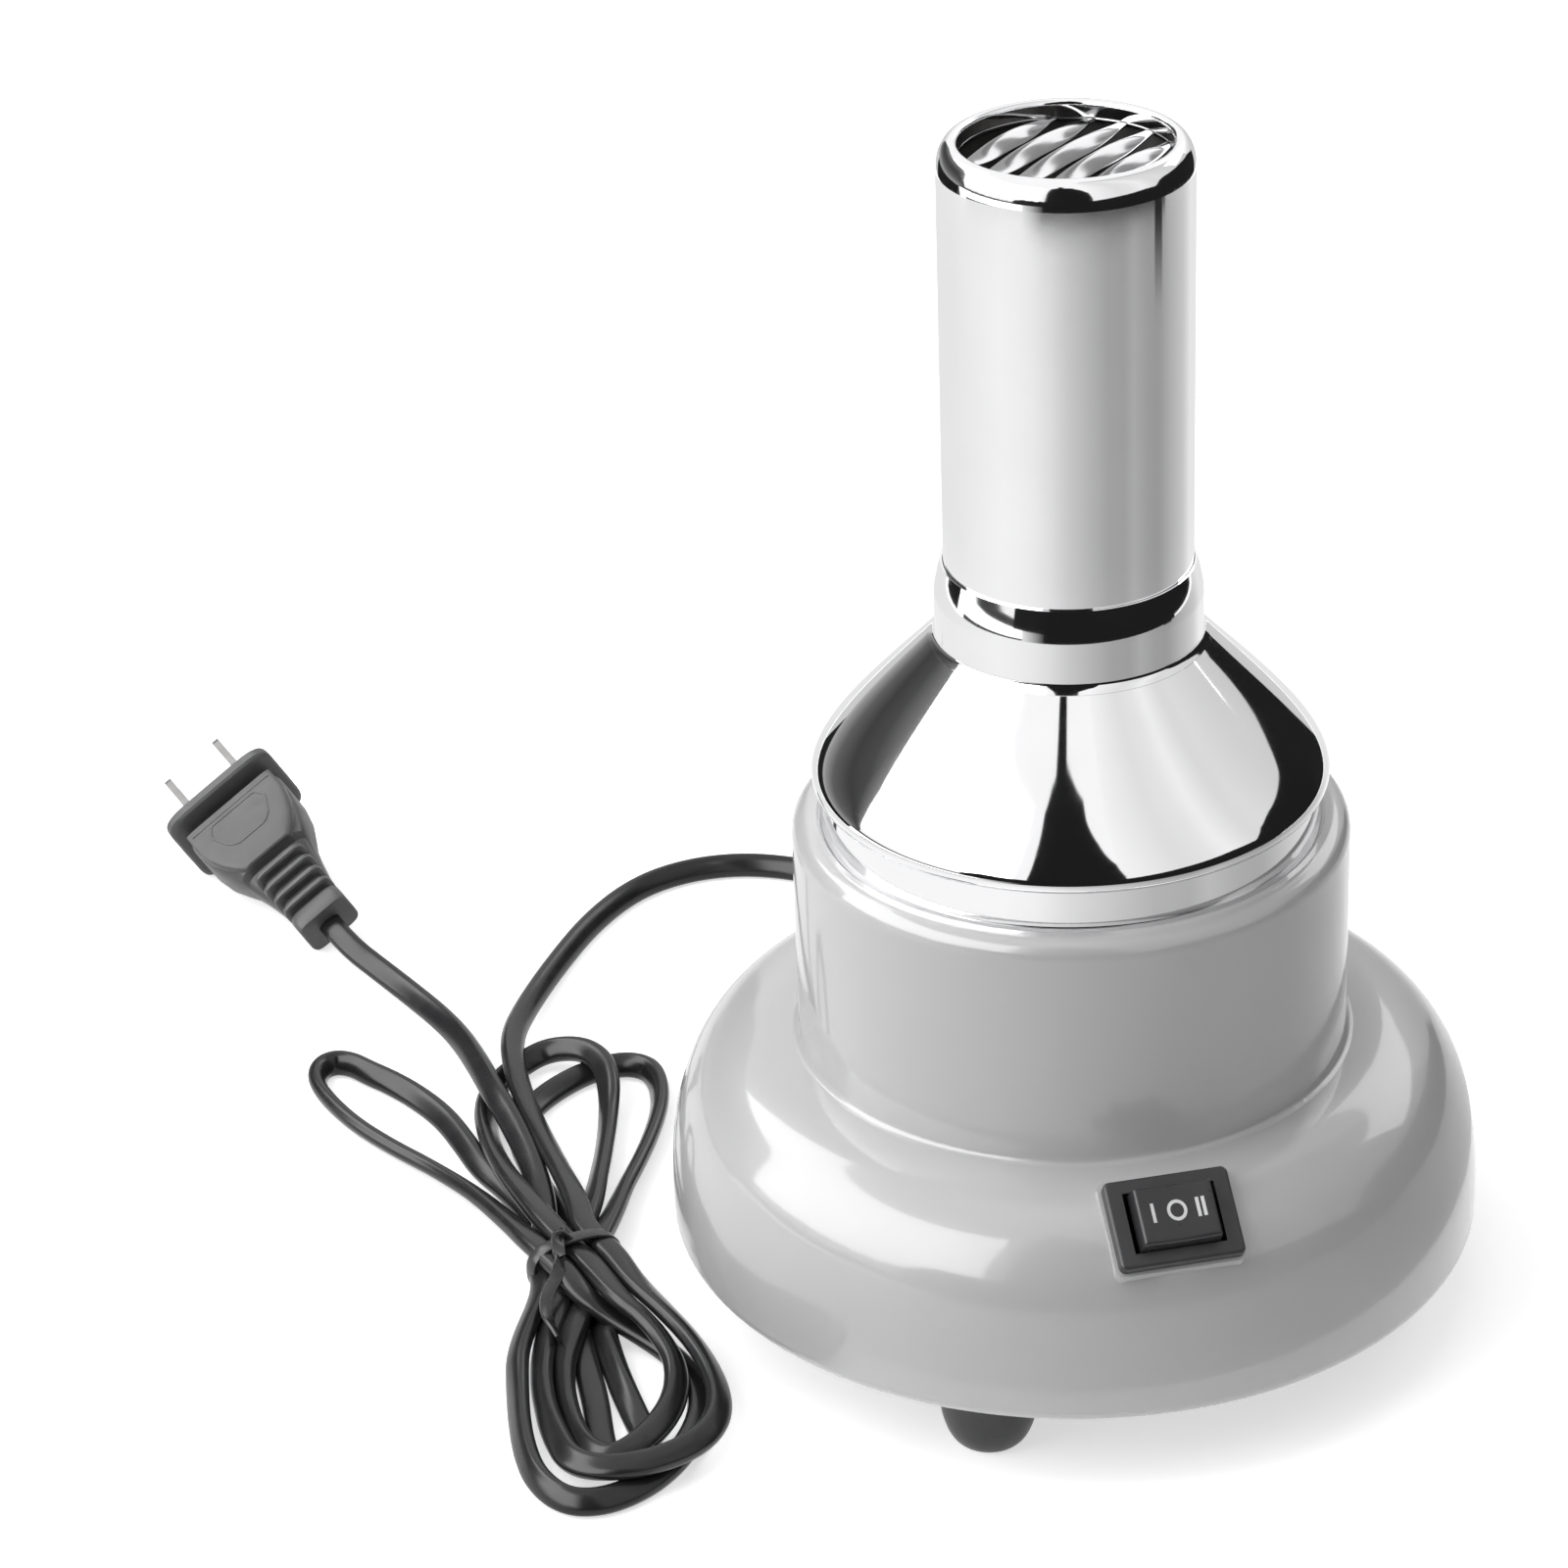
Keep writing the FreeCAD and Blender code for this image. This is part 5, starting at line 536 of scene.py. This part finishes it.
panel_outline = PANEL + [(x, -y) for x, y in reversed(PANEL)]
plug = mesh_object("moulded_plug", *joined([
    plug_skin(PLUG_FLANGE), plug_skin(PLUG_BODY), plug_skin(PLUG_PLATE), plug_relief(), plug_skin(PLUG_COLLAR),
    raised_line(panel_outline, PANEL_LINE, True),
    raised_line([(CROSS_LINE_PLACE, y) for y in (-9.9, -5, 0, 5, 9.9)], CROSS_LINE, False),
]), FINISHES["plug_plastic"], crease=32)
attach(plug, "housing")
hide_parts("plug_body")

# ------------------------------------------------------------------ the polished dome and collar
def bezier(a, b, c, d, count=60):
    """Points of a curve between a and d."""
    points = []
    for i in range(count + 1):
        t = i / count
        points.append(tuple((1 - t) ** 3 * p + 3 * (1 - t) ** 2 * t * q + 3 * (1 - t) * t * t * r + t ** 3 * w
                            for p, q, r, w in zip(a, b, c, d)))
    return points


DOME_OUTSIDE = [(22.4, 123.85)] + bezier((23.7, 122.5), (33.6, 112.0), (48.2, 98.2), (41.8, 97.2)) + [
    (41.8, 91.6), (41.86, 90.8), (42.05, 90.2), (42.05, 88.2)]
DOME_INSIDE = [(41.0, 88.2), (41.0, 96.0), (30.0, 113.0), (23.0, 121.0), (20.9, 121.6), (20.9, 122.5)]
COLLAR_PROFILE = [(20.7, 122.5), (20.7, 137.1), (21.07, 137.1), (21.35, 136.0), (21.6, 135.0), (21.82, 134.0),
                  (22.0, 133.1), (22.13, 132.3), (22.22, 131.6), (22.25, 131.0), (22.25, 124.9), (22.28, 124.55),
                  (22.38, 124.2), (22.55, 123.9), (22.8, 123.6), (23.2, 123.15), (23.0, 122.5)]
dome = mesh_object("polished_dome", *lathe(DOME_OUTSIDE + DOME_INSIDE), FINISHES["dome_chrome"], crease=38)
collar = mesh_object("polished_collar", *lathe(COLLAR_PROFILE), FINISHES["collar_chrome"], crease=38)
for piece, node, slot in ((dome, "chrome_dome", "dome_chrome"), (collar, "collar_ring", "collar_chrome")):
    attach(piece, "housing")
    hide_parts(node)

# ------------------------------------------------------------------ the outlet grille
GRILLE_MIDDLE = 0.2064
OUTLET_RADIUS = 0.0171
GRILLE_ROOT = 0.0009
GRILLE_PITCH = 0.0056
GRILLE_TURN = Matrix.Rotation(math.radians(42), 4, "Z")
GRILLE_TWIST = math.radians(52)
STRIP_END_HALF_WIDTH = 0.00092
STRIP_SWELL = 0.0008
STRIP_HALF_THICKNESS = 0.00035
GRILLE_RING_RADIUS = OUTLET_RADIUS + GRILLE_ROOT - 0.00005


def grille_strip(offset, count=40):
    """One strip, flat at its ends and twisted most in its middle, with rounded edges."""
    reach = math.sqrt(OUTLET_RADIUS ** 2 - offset ** 2) + GRILLE_ROOT
    rings = []
    for i in range(count + 1):
        place = reach * (2 * i / count - 1)
        swell = math.sin(math.pi / 2 * max(0.0, 1 - abs(place) / (reach - 2 * GRILLE_ROOT)))
        twist = GRILLE_TWIST * swell
        section = oval(STRIP_END_HALF_WIDTH + STRIP_SWELL * swell, STRIP_HALF_THICKNESS, 3, 26)
        rings.append([GRILLE_TURN @ Vector((place, offset + math.cos(twist) * a - math.sin(twist) * b,
                                            GRILLE_MIDDLE + math.sin(twist) * a + math.cos(twist) * b))
                      for a, b in section])
    return skinned(rings)


def grille_ring(count=96):
    """The ring that holds the strips' ends."""
    section = oval(0.00085, 0.0005, 4, 16)
    return skinned([[Vector(((GRILLE_RING_RADIUS + a) * math.cos(turn), (GRILLE_RING_RADIUS + a) * math.sin(turn),
                             GRILLE_MIDDLE + b)) for a, b in section]
                    for turn in (2 * math.pi * i / count for i in range(count))], closed=True)


grille = mesh_object("turned_strips", *joined([grille_ring()] + [grille_strip(GRILLE_PITCH * i)
                                                                 for i in (-2, -1, 0, 1, 2)]),
                     FINISHES["grille_chrome"])
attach(grille, "housing")
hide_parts("outlet_grille")

# ------------------------------------------------------------------ the rocker and its marks
SWITCH_PLACE = Matrix.Translation((0, -0.062204, 0.04729)) @ Matrix.Rotation(math.radians(38), 4, "X")
ROCKER_RISE = 0.0031
ROCKER_DISH = 0.0005
ROCKER_HALF_TOP = 0.0065
ROCKER_HALF_WIDTH = 0.0049
ROCKER_EDGE = 0.0006
ROCKER_FOOT = -0.0012
# shares of the rocker's half size: the top inside its rounded edge, and the foot of its sloped walls
ROCKER_FLAT = 0.88
ROCKER_SPREAD = 1.04
# the share of the rows that lie on the top inside the rounded edge
ROCKER_FLAT_ROWS = 0.7
MARK_STEP = 0.004
MARK_HEIGHT = 0.0033
MARK_LINE = 0.00056
MARK_GAP = 0.0004
MARK_RISE = 0.00004
MARK_LIFT = 0.0003
MARK_RING_RADIUS = MARK_HEIGHT / 2 + 0.00015
MARK_RING_LINE = 0.00058
MARK_RING_SQUEEZE = 0.92


def rocker_top(x):
    return ROCKER_RISE - ROCKER_DISH * (1 - (x / ROCKER_HALF_TOP) ** 2)


def rocker_cap(count=28):
    """The rocker's dished top with rounded edges, standing on sloped walls."""
    def slope(share):
        """Distance of a row from the middle as a share of the half size, and its drop below the top."""
        if abs(share) > 1:
            return math.copysign(ROCKER_SPREAD, share), ROCKER_RISE - ROCKER_FOOT
        if abs(share) <= ROCKER_FLAT_ROWS:
            return share / ROCKER_FLAT_ROWS * ROCKER_FLAT, 0.0
        turn = (abs(share) - ROCKER_FLAT_ROWS) / (1 - ROCKER_FLAT_ROWS) * math.pi / 2
        return (math.copysign(ROCKER_FLAT + (1 - ROCKER_FLAT) * math.sin(turn), share),
                ROCKER_EDGE * (1 - math.cos(turn)))

    places = [-1.1] + [2 * i / count - 1 for i in range(count + 1)] + [1.1]
    rows = len(places)
    vertices, faces = [], []
    for a in places:
        for b in places:
            (x, drop_x), (y, drop_y) = slope(a), slope(b)
            x, y = x * ROCKER_HALF_TOP, y * ROCKER_HALF_WIDTH
            vertices.append(SWITCH_PLACE @ Vector((x, y, max(ROCKER_FOOT, rocker_top(x) - drop_x - drop_y))))
    for i in range(rows - 1):
        for j in range(rows - 1):
            k = i * rows + j
            faces.append((k, k + 1, k + rows + 1, k + rows))
    rim = ([i * rows for i in range(rows)] + [(rows - 1) * rows + j for j in range(1, rows)]
           + [i * rows + rows - 1 for i in range(rows - 2, -1, -1)] + list(range(rows - 2, 0, -1)))
    faces.append(tuple(rim))
    return vertices, faces


rocker = mesh_object("rocker_cap", *rocker_cap(), FINISHES["rocker_plastic"], crease=50)
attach(rocker, "rocker")
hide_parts("switch_rocker")


def bar_cells(x, width, height, count=6):
    cells = []
    for i in range(count):
        low, high = (height * (j / count - 0.5) for j in (i, i + 1))
        cells.append([(x - width / 2, low), (x + width / 2, low), (x + width / 2, high), (x - width / 2, high)])
    return cells


def ring_cells(radius, width, count=40):
    def spot(r, i):
        angle = 2 * math.pi * i / count
        return (r * math.cos(angle) * MARK_RING_SQUEEZE, r * math.sin(angle))
    return [[spot(radius - width, i), spot(radius, i), spot(radius, i + 1), spot(radius - width, i + 1)]
            for i in range(count)]


def raised_mark(name, cells):
    """A thin print standing on the rocker's dished top."""
    vertices, faces, found, edges = [], [], {}, {}

    def corner(x, y, level):
        key = (round(x, 7), round(y, 7), level)
        if key not in found:
            found[key] = len(vertices)
            rise = MARK_RISE if level else -MARK_RISE
            vertices.append(SWITCH_PLACE @ Vector((x, y + MARK_LIFT, rocker_top(x) + rise)))
        return found[key]

    for cell in cells:
        faces.append([corner(x, y, 1) for x, y in cell])
        faces.append([corner(x, y, 0) for x, y in reversed(cell)])
        for a, b in zip(cell, cell[1:] + cell[:1]):
            key = frozenset((corner(*a, 1), corner(*b, 1)))
            edges.setdefault(key, []).append((a, b))
    for sides in edges.values():
        if len(sides) == 1:
            a, b = sides[0]
            faces.append([corner(*a, 1), corner(*a, 0), corner(*b, 0), corner(*b, 1)])
    piece = mesh_object(name, vertices, faces, MARK_WHITE, smooth=False)
    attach(piece, "rocker")
    return piece


raised_mark("mark_low", bar_cells(-MARK_STEP, MARK_LINE, MARK_HEIGHT))
raised_mark("mark_off", ring_cells(MARK_RING_RADIUS, MARK_RING_LINE))
raised_mark("mark_high", [cell for side in (-1, 1)
                          for cell in bar_cells(MARK_STEP + side * (MARK_GAP + MARK_LINE) / 2,
                                                MARK_LINE, MARK_HEIGHT)])


# ------------------------------------------------------------------ floor, cards, light and camera
def view_share(tree):
    """1 for the rays that see the white background: camera, mirror and glass rays."""
    path = tree.nodes.new("ShaderNodeLightPath")
    most = tree.nodes.new("ShaderNodeMath")
    most.operation = "MAXIMUM"
    tree.links.new(path.outputs["Is Camera Ray"], most.inputs[0])
    tree.links.new(path.outputs["Is Glossy Ray"], most.inputs[1])
    both = tree.nodes.new("ShaderNodeMath")
    both.operation = "MAXIMUM"
    tree.links.new(most.outputs[0], both.inputs[0])
    tree.links.new(path.outputs["Is Transmission Ray"], both.inputs[1])
    return both.outputs[0]


def make_world(fill):
    world = bpy.data.worlds.new("white_surround")
    SCENE.world = world
    world.use_nodes = True
    tree = world.node_tree
    tree.nodes.clear()
    output = tree.nodes.new("ShaderNodeOutputWorld")
    seen = tree.nodes.new("ShaderNodeBackground")
    lit = tree.nodes.new("ShaderNodeBackground")
    seen.inputs["Strength"].default_value = 1.0
    lit.inputs["Strength"].default_value = fill
    for node in (seen, lit):
        node.inputs["Color"].default_value = (1, 1, 1, 1)
    mix = tree.nodes.new("ShaderNodeMixShader")
    tree.links.new(view_share(tree), mix.inputs["Fac"])
    tree.links.new(lit.outputs[0], mix.inputs[1])
    tree.links.new(seen.outputs[0], mix.inputs[2])
    tree.links.new(mix.outputs[0], output.inputs["Surface"])


FLOOR_HALF = 4.0
FLOOR_GLOW = 0.6
FLOOR_GREY = 0.9


def make_floor():
    corners = [(FLOOR_HALF * x, FLOOR_HALF * y, 0) for x, y in ((-1, -1), (1, -1), (1, 1), (-1, 1))]
    floor = mesh_object("floor", corners, [(0, 1, 2, 3)], smooth=False)
    material, tree, output = new_material("pale_floor")
    paint = tree.nodes.new("ShaderNodeBsdfDiffuse")
    paint.inputs["Color"].default_value = (FLOOR_GREY, FLOOR_GREY, FLOOR_GREY, 1)
    glow = tree.nodes.new("ShaderNodeEmission")
    glow.inputs["Strength"].default_value = FLOOR_GLOW
    shown = tree.nodes.new("ShaderNodeMixShader")
    dark = tree.nodes.new("ShaderNodeEmission")
    dark.inputs["Strength"].default_value = 0.0
    tree.links.new(view_share(tree), shown.inputs["Fac"])
    tree.links.new(dark.outputs[0], shown.inputs[1])
    tree.links.new(glow.outputs[0], shown.inputs[2])
    total = tree.nodes.new("ShaderNodeAddShader")
    tree.links.new(paint.outputs[0], total.inputs[0])
    tree.links.new(shown.outputs[0], total.inputs[1])
    tree.links.new(total.outputs[0], output.inputs["Surface"])
    floor.data.materials.append(material)


def card_material(name):
    """Paint that glows as bright as each corner's level says."""
    material, tree, output = new_material(name)
    level = tree.nodes.new("ShaderNodeVertexColor")
    level.layer_name = "level"
    glow = tree.nodes.new("ShaderNodeEmission")
    tree.links.new(level.outputs["Color"], glow.inputs["Color"])
    tree.links.new(glow.outputs[0], output.inputs["Surface"])
    return material


CARD_PAINT = card_material("card_paint")


def card(name, vertices, faces, levels):
    """A studio card that only mirrors see."""
    piece = mesh_object(name, vertices, faces, CARD_PAINT, smooth=False)
    colours = piece.data.color_attributes.new("level", "FLOAT_COLOR", "POINT")
    for target, level in zip(colours.data, levels):
        target.color = (level, level, level, 1)
    piece.visible_camera = False
    piece.visible_diffuse = False
    piece.visible_shadow = False


TOWARDS_CAMERA = Vector((-0.264, -0.9645, 0))
RIGHT_OF_CAMERA = Vector((0.9645, -0.264, 0))


def bearing(azimuth, elevation, distance):
    """A place around the object, azimuth 0 towards the camera and growing to its right."""
    a, e = math.radians(azimuth), math.radians(elevation)
    flat = (TOWARDS_CAMERA * math.cos(a) + RIGHT_OF_CAMERA * math.sin(a)) * math.cos(e)
    return (flat + Vector((0, 0, math.sin(e)))) * distance


def stepped(table, azimuth):
    """Value between the entries of a table of azimuths and values."""
    for (low, first), (high, second) in zip(table, table[1:]):
        if azimuth <= high:
            return first + (second - first) * max(0.0, (azimuth - low) / (high - low))
    return table[-1][1]


def wall_card(name, edges, distance=1.5, step=3):
    """A curved card over rows of edges: each a table of azimuths and elevations, and a level."""
    start, end = edges[0][0][0][0], edges[0][0][-1][0]
    count = max(2, round((end - start) / step))
    vertices, faces, levels = [], [], []
    for i in range(count + 1):
        azimuth = start + (end - start) * i / count
        for table, level in edges:
            vertices.append(bearing(azimuth, stepped(table, azimuth), distance))
            levels.append(stepped(level, azimuth) if isinstance(level, list) else level)
        if i:
            for j in range(len(edges) - 1):
                k = len(edges) * i + j
                faces.append((k - len(edges), k, k + 1, k - len(edges) + 1))
    card(name, vertices, faces, levels)


def level_edge(start, end, elevation):
    return [(start, elevation), (end, elevation)]


def floor_card(name, start, end, rings, height, step=5):
    """A card on the floor: each ring is a radius and a table of azimuths and levels."""
    count = max(2, round((end - start) / step))
    vertices, faces, levels = [], [], []
    for radius, table in rings:
        for i in range(count + 1):
            azimuth = start + (end - start) * i / count
            vertices.append(bearing(azimuth, 0, radius) + Vector((0, 0, height)))
            levels.append(stepped(table, azimuth))
    for j in range(len(rings) - 1):
        for i in range(count):
            k = j * (count + 1) + i
            faces.append((k, k + 1, k + count + 2, k + count + 1))
    card(name, vertices, faces, levels)


def lamp(name, azimuth, elevation, distance, size, brightness, aim=(0, 0, 0.06)):
    """A soft lamp, its brightness as a share of white."""
    light = bpy.data.lights.new(name, "AREA")
    light.shape = "RECTANGLE"
    light.size, light.size_y = size
    light.energy = brightness * math.pi * size[0] * size[1]
    holder = bpy.data.objects.new(name, light)
    holder.location = bearing(azimuth, elevation, distance)
    holder.visible_glossy = False
    holder.rotation_euler = (Vector(aim) - holder.location).to_track_quat("-Z", "Y").to_euler()
    SCENE.collection.objects.link(holder)


make_world(0.25)
make_floor()
DARK = 0.012
# what the nozzle mirrors from the floor: bright to its left, grey to its right
NEAR_LEVELS = [(-180, 0.8), (-115, 0.84), (-60, 0.94), (-45, 0.92), (-30, 0.87), (-15, 0.76), (0, 0.61),
               (20, 0.47), (35, 0.38), (50, 0.36), (60, 0.42), (75, 0.35), (88, 0.33), (105, 0.46), (125, 0.6),
               (140, 0.82), (180, 0.8)]
INNER_LEVELS = [(azimuth, min(1.0, level * 1.25)) for azimuth, level in NEAR_LEVELS]
floor_card("near_floor_card", -180, 180, [(0.1, INNER_LEVELS), (0.22, INNER_LEVELS), (0.32, NEAR_LEVELS),
                                          (0.56, NEAR_LEVELS)], 0.0004)
FRONT_LEVELS = [(-38, 0.8), (-20, DARK)]
floor_card("front_floor_card", -38, 96, [(0.533, FRONT_LEVELS), (1.75, FRONT_LEVELS)], 0.0008, step=3)
floor_card("left_floor_card", -96, -38, [(0.56, [(0, 0.05)]), (0.68, [(0, 0.05)])], 0.0008)
floor_card("right_back_floor_card", 96, 150, [(0.6, [(0, DARK)]), (1.75, [(0, DARK)])], 0.0008)
floor_card("left_back_floor_card", -150, -104, [(0.6, [(0, DARK)]), (1.75, [(0, DARK)])], 0.0008)
floor_card("streak_card", 83, 92, [(0.545, [(0, DARK)]), (0.525, [(0, DARK)]), (0.47, [(0, 0.3)])], 0.0012, step=9)
floor_card("far_floor_card", 128, 232, [(0.6, [(0, 0.62)]), (3.9, [(0, 0.62)])], 0.0003)
wall_card("horizon_card", [(level_edge(-46, 150, -1), DARK), (
    [(-46, 9), (-38, 15), (-16, 13), (24, 13), (46, 15), (71, 15), (84, 12), (89, 20), (97, 23), (110, 22), (117, 21),
     (122, 21), (126, 20), (134, 17), (138, 16), (141, 14), (146, 8), (150, 5)], DARK)])
wall_card("left_wall_card", [
    (level_edge(-160, -98, -1), 0.5), ([(-160, 3), (-98, 1)], 0.3), ([(-160, 9), (-106, 7), (-98, 3)], 0.12),
    ([(-160, 15), (-109, 17), (-104, 11), (-98, 5)], 0.05), ([(-160, 21), (-113, 24), (-105, 17), (-98, 6)], 0.07),
    ([(-160, 29), (-120, 35), (-113, 35), (-108, 32), (-104, 28), (-101, 20), (-98, 8)], 0.24)])
wall_card("wedge_card", [(level_edge(-18, 23, 8), DARK), (
    [(-18, 14), (-17, 46), (-16, 56), (-13, 59), (-10.5, 60), (-10, 66), (-3, 66), (-2.5, 61), (2, 60), (9, 58),
     (10, 55), (15, 49), (21, 37), (23, 19)], DARK)], distance=1.49, step=0.5)
RIGHT_SKY = [(22, 0.97), (34, 0.88), (48, 0.78), (62, 0.83), (70, 0.92), (76, 0.84), (84, 0.74), (92, 0.76),
             (110, 0.68), (140, 0.6)]
wall_card("right_sky_card", [(level_edge(22, 140, elevation), RIGHT_SKY) for elevation in (5, 22, 38, 54, 70, 85)],
          distance=1.62)
wall_card("back_sky_card", [(level_edge(128, 232, -1), 0.6), (level_edge(128, 232, 9), 0.66),
                            (level_edge(128, 232, 20), 0.9)], distance=1.63)
wall_card("left_glow_card", [(level_edge(-140, -24, elevation), 5.0) for elevation in (9, 21, 33, 45, 56)],
          distance=1.6)
wall_card("left_line_card", [(level_edge(-104, -46, 0.5), 0.05), (level_edge(-104, -46, 4), 0.05)])
wall_card("right_glow_card", [(level_edge(120, 164, 26), 3.0), (level_edge(120, 164, 42), 3.0)], distance=1.6)
lamp("key_lamp", -80, 36, 1.4, (1.9, 1.35), 2.26)
lamp("high_lamp", -95, 64, 1.45, (1.1, 0.6), 1.75)
lamp("top_lamp", 0, 88, 1.5, (0.6, 0.6), 2.4)
lamp("right_lamp", 75, 55, 1.5, (0.6, 0.6), 1.0)
lamp("back_lamp", 142, 32, 1.4, (0.5, 0.4), 1.75)

CAMERA_SENSOR = 36
CAMERA_LENS = 112.353
CAMERA_PLACE = (-0.1917, -0.7008, 0.4817)
CAMERA_TURN = (62.0159, 1.9140, -12.5291)
camera_data = bpy.data.cameras.new("camera")
camera_data.sensor_width = CAMERA_SENSOR
camera_data.sensor_fit = "HORIZONTAL"
camera_data.lens = CAMERA_LENS
camera = bpy.data.objects.new("camera", camera_data)
camera.location = CAMERA_PLACE
camera.rotation_euler = tuple(math.radians(angle) for angle in CAMERA_TURN)
SCENE.collection.objects.link(camera)
SCENE.camera = camera
SCENE.view_settings.view_transform = "Standard"
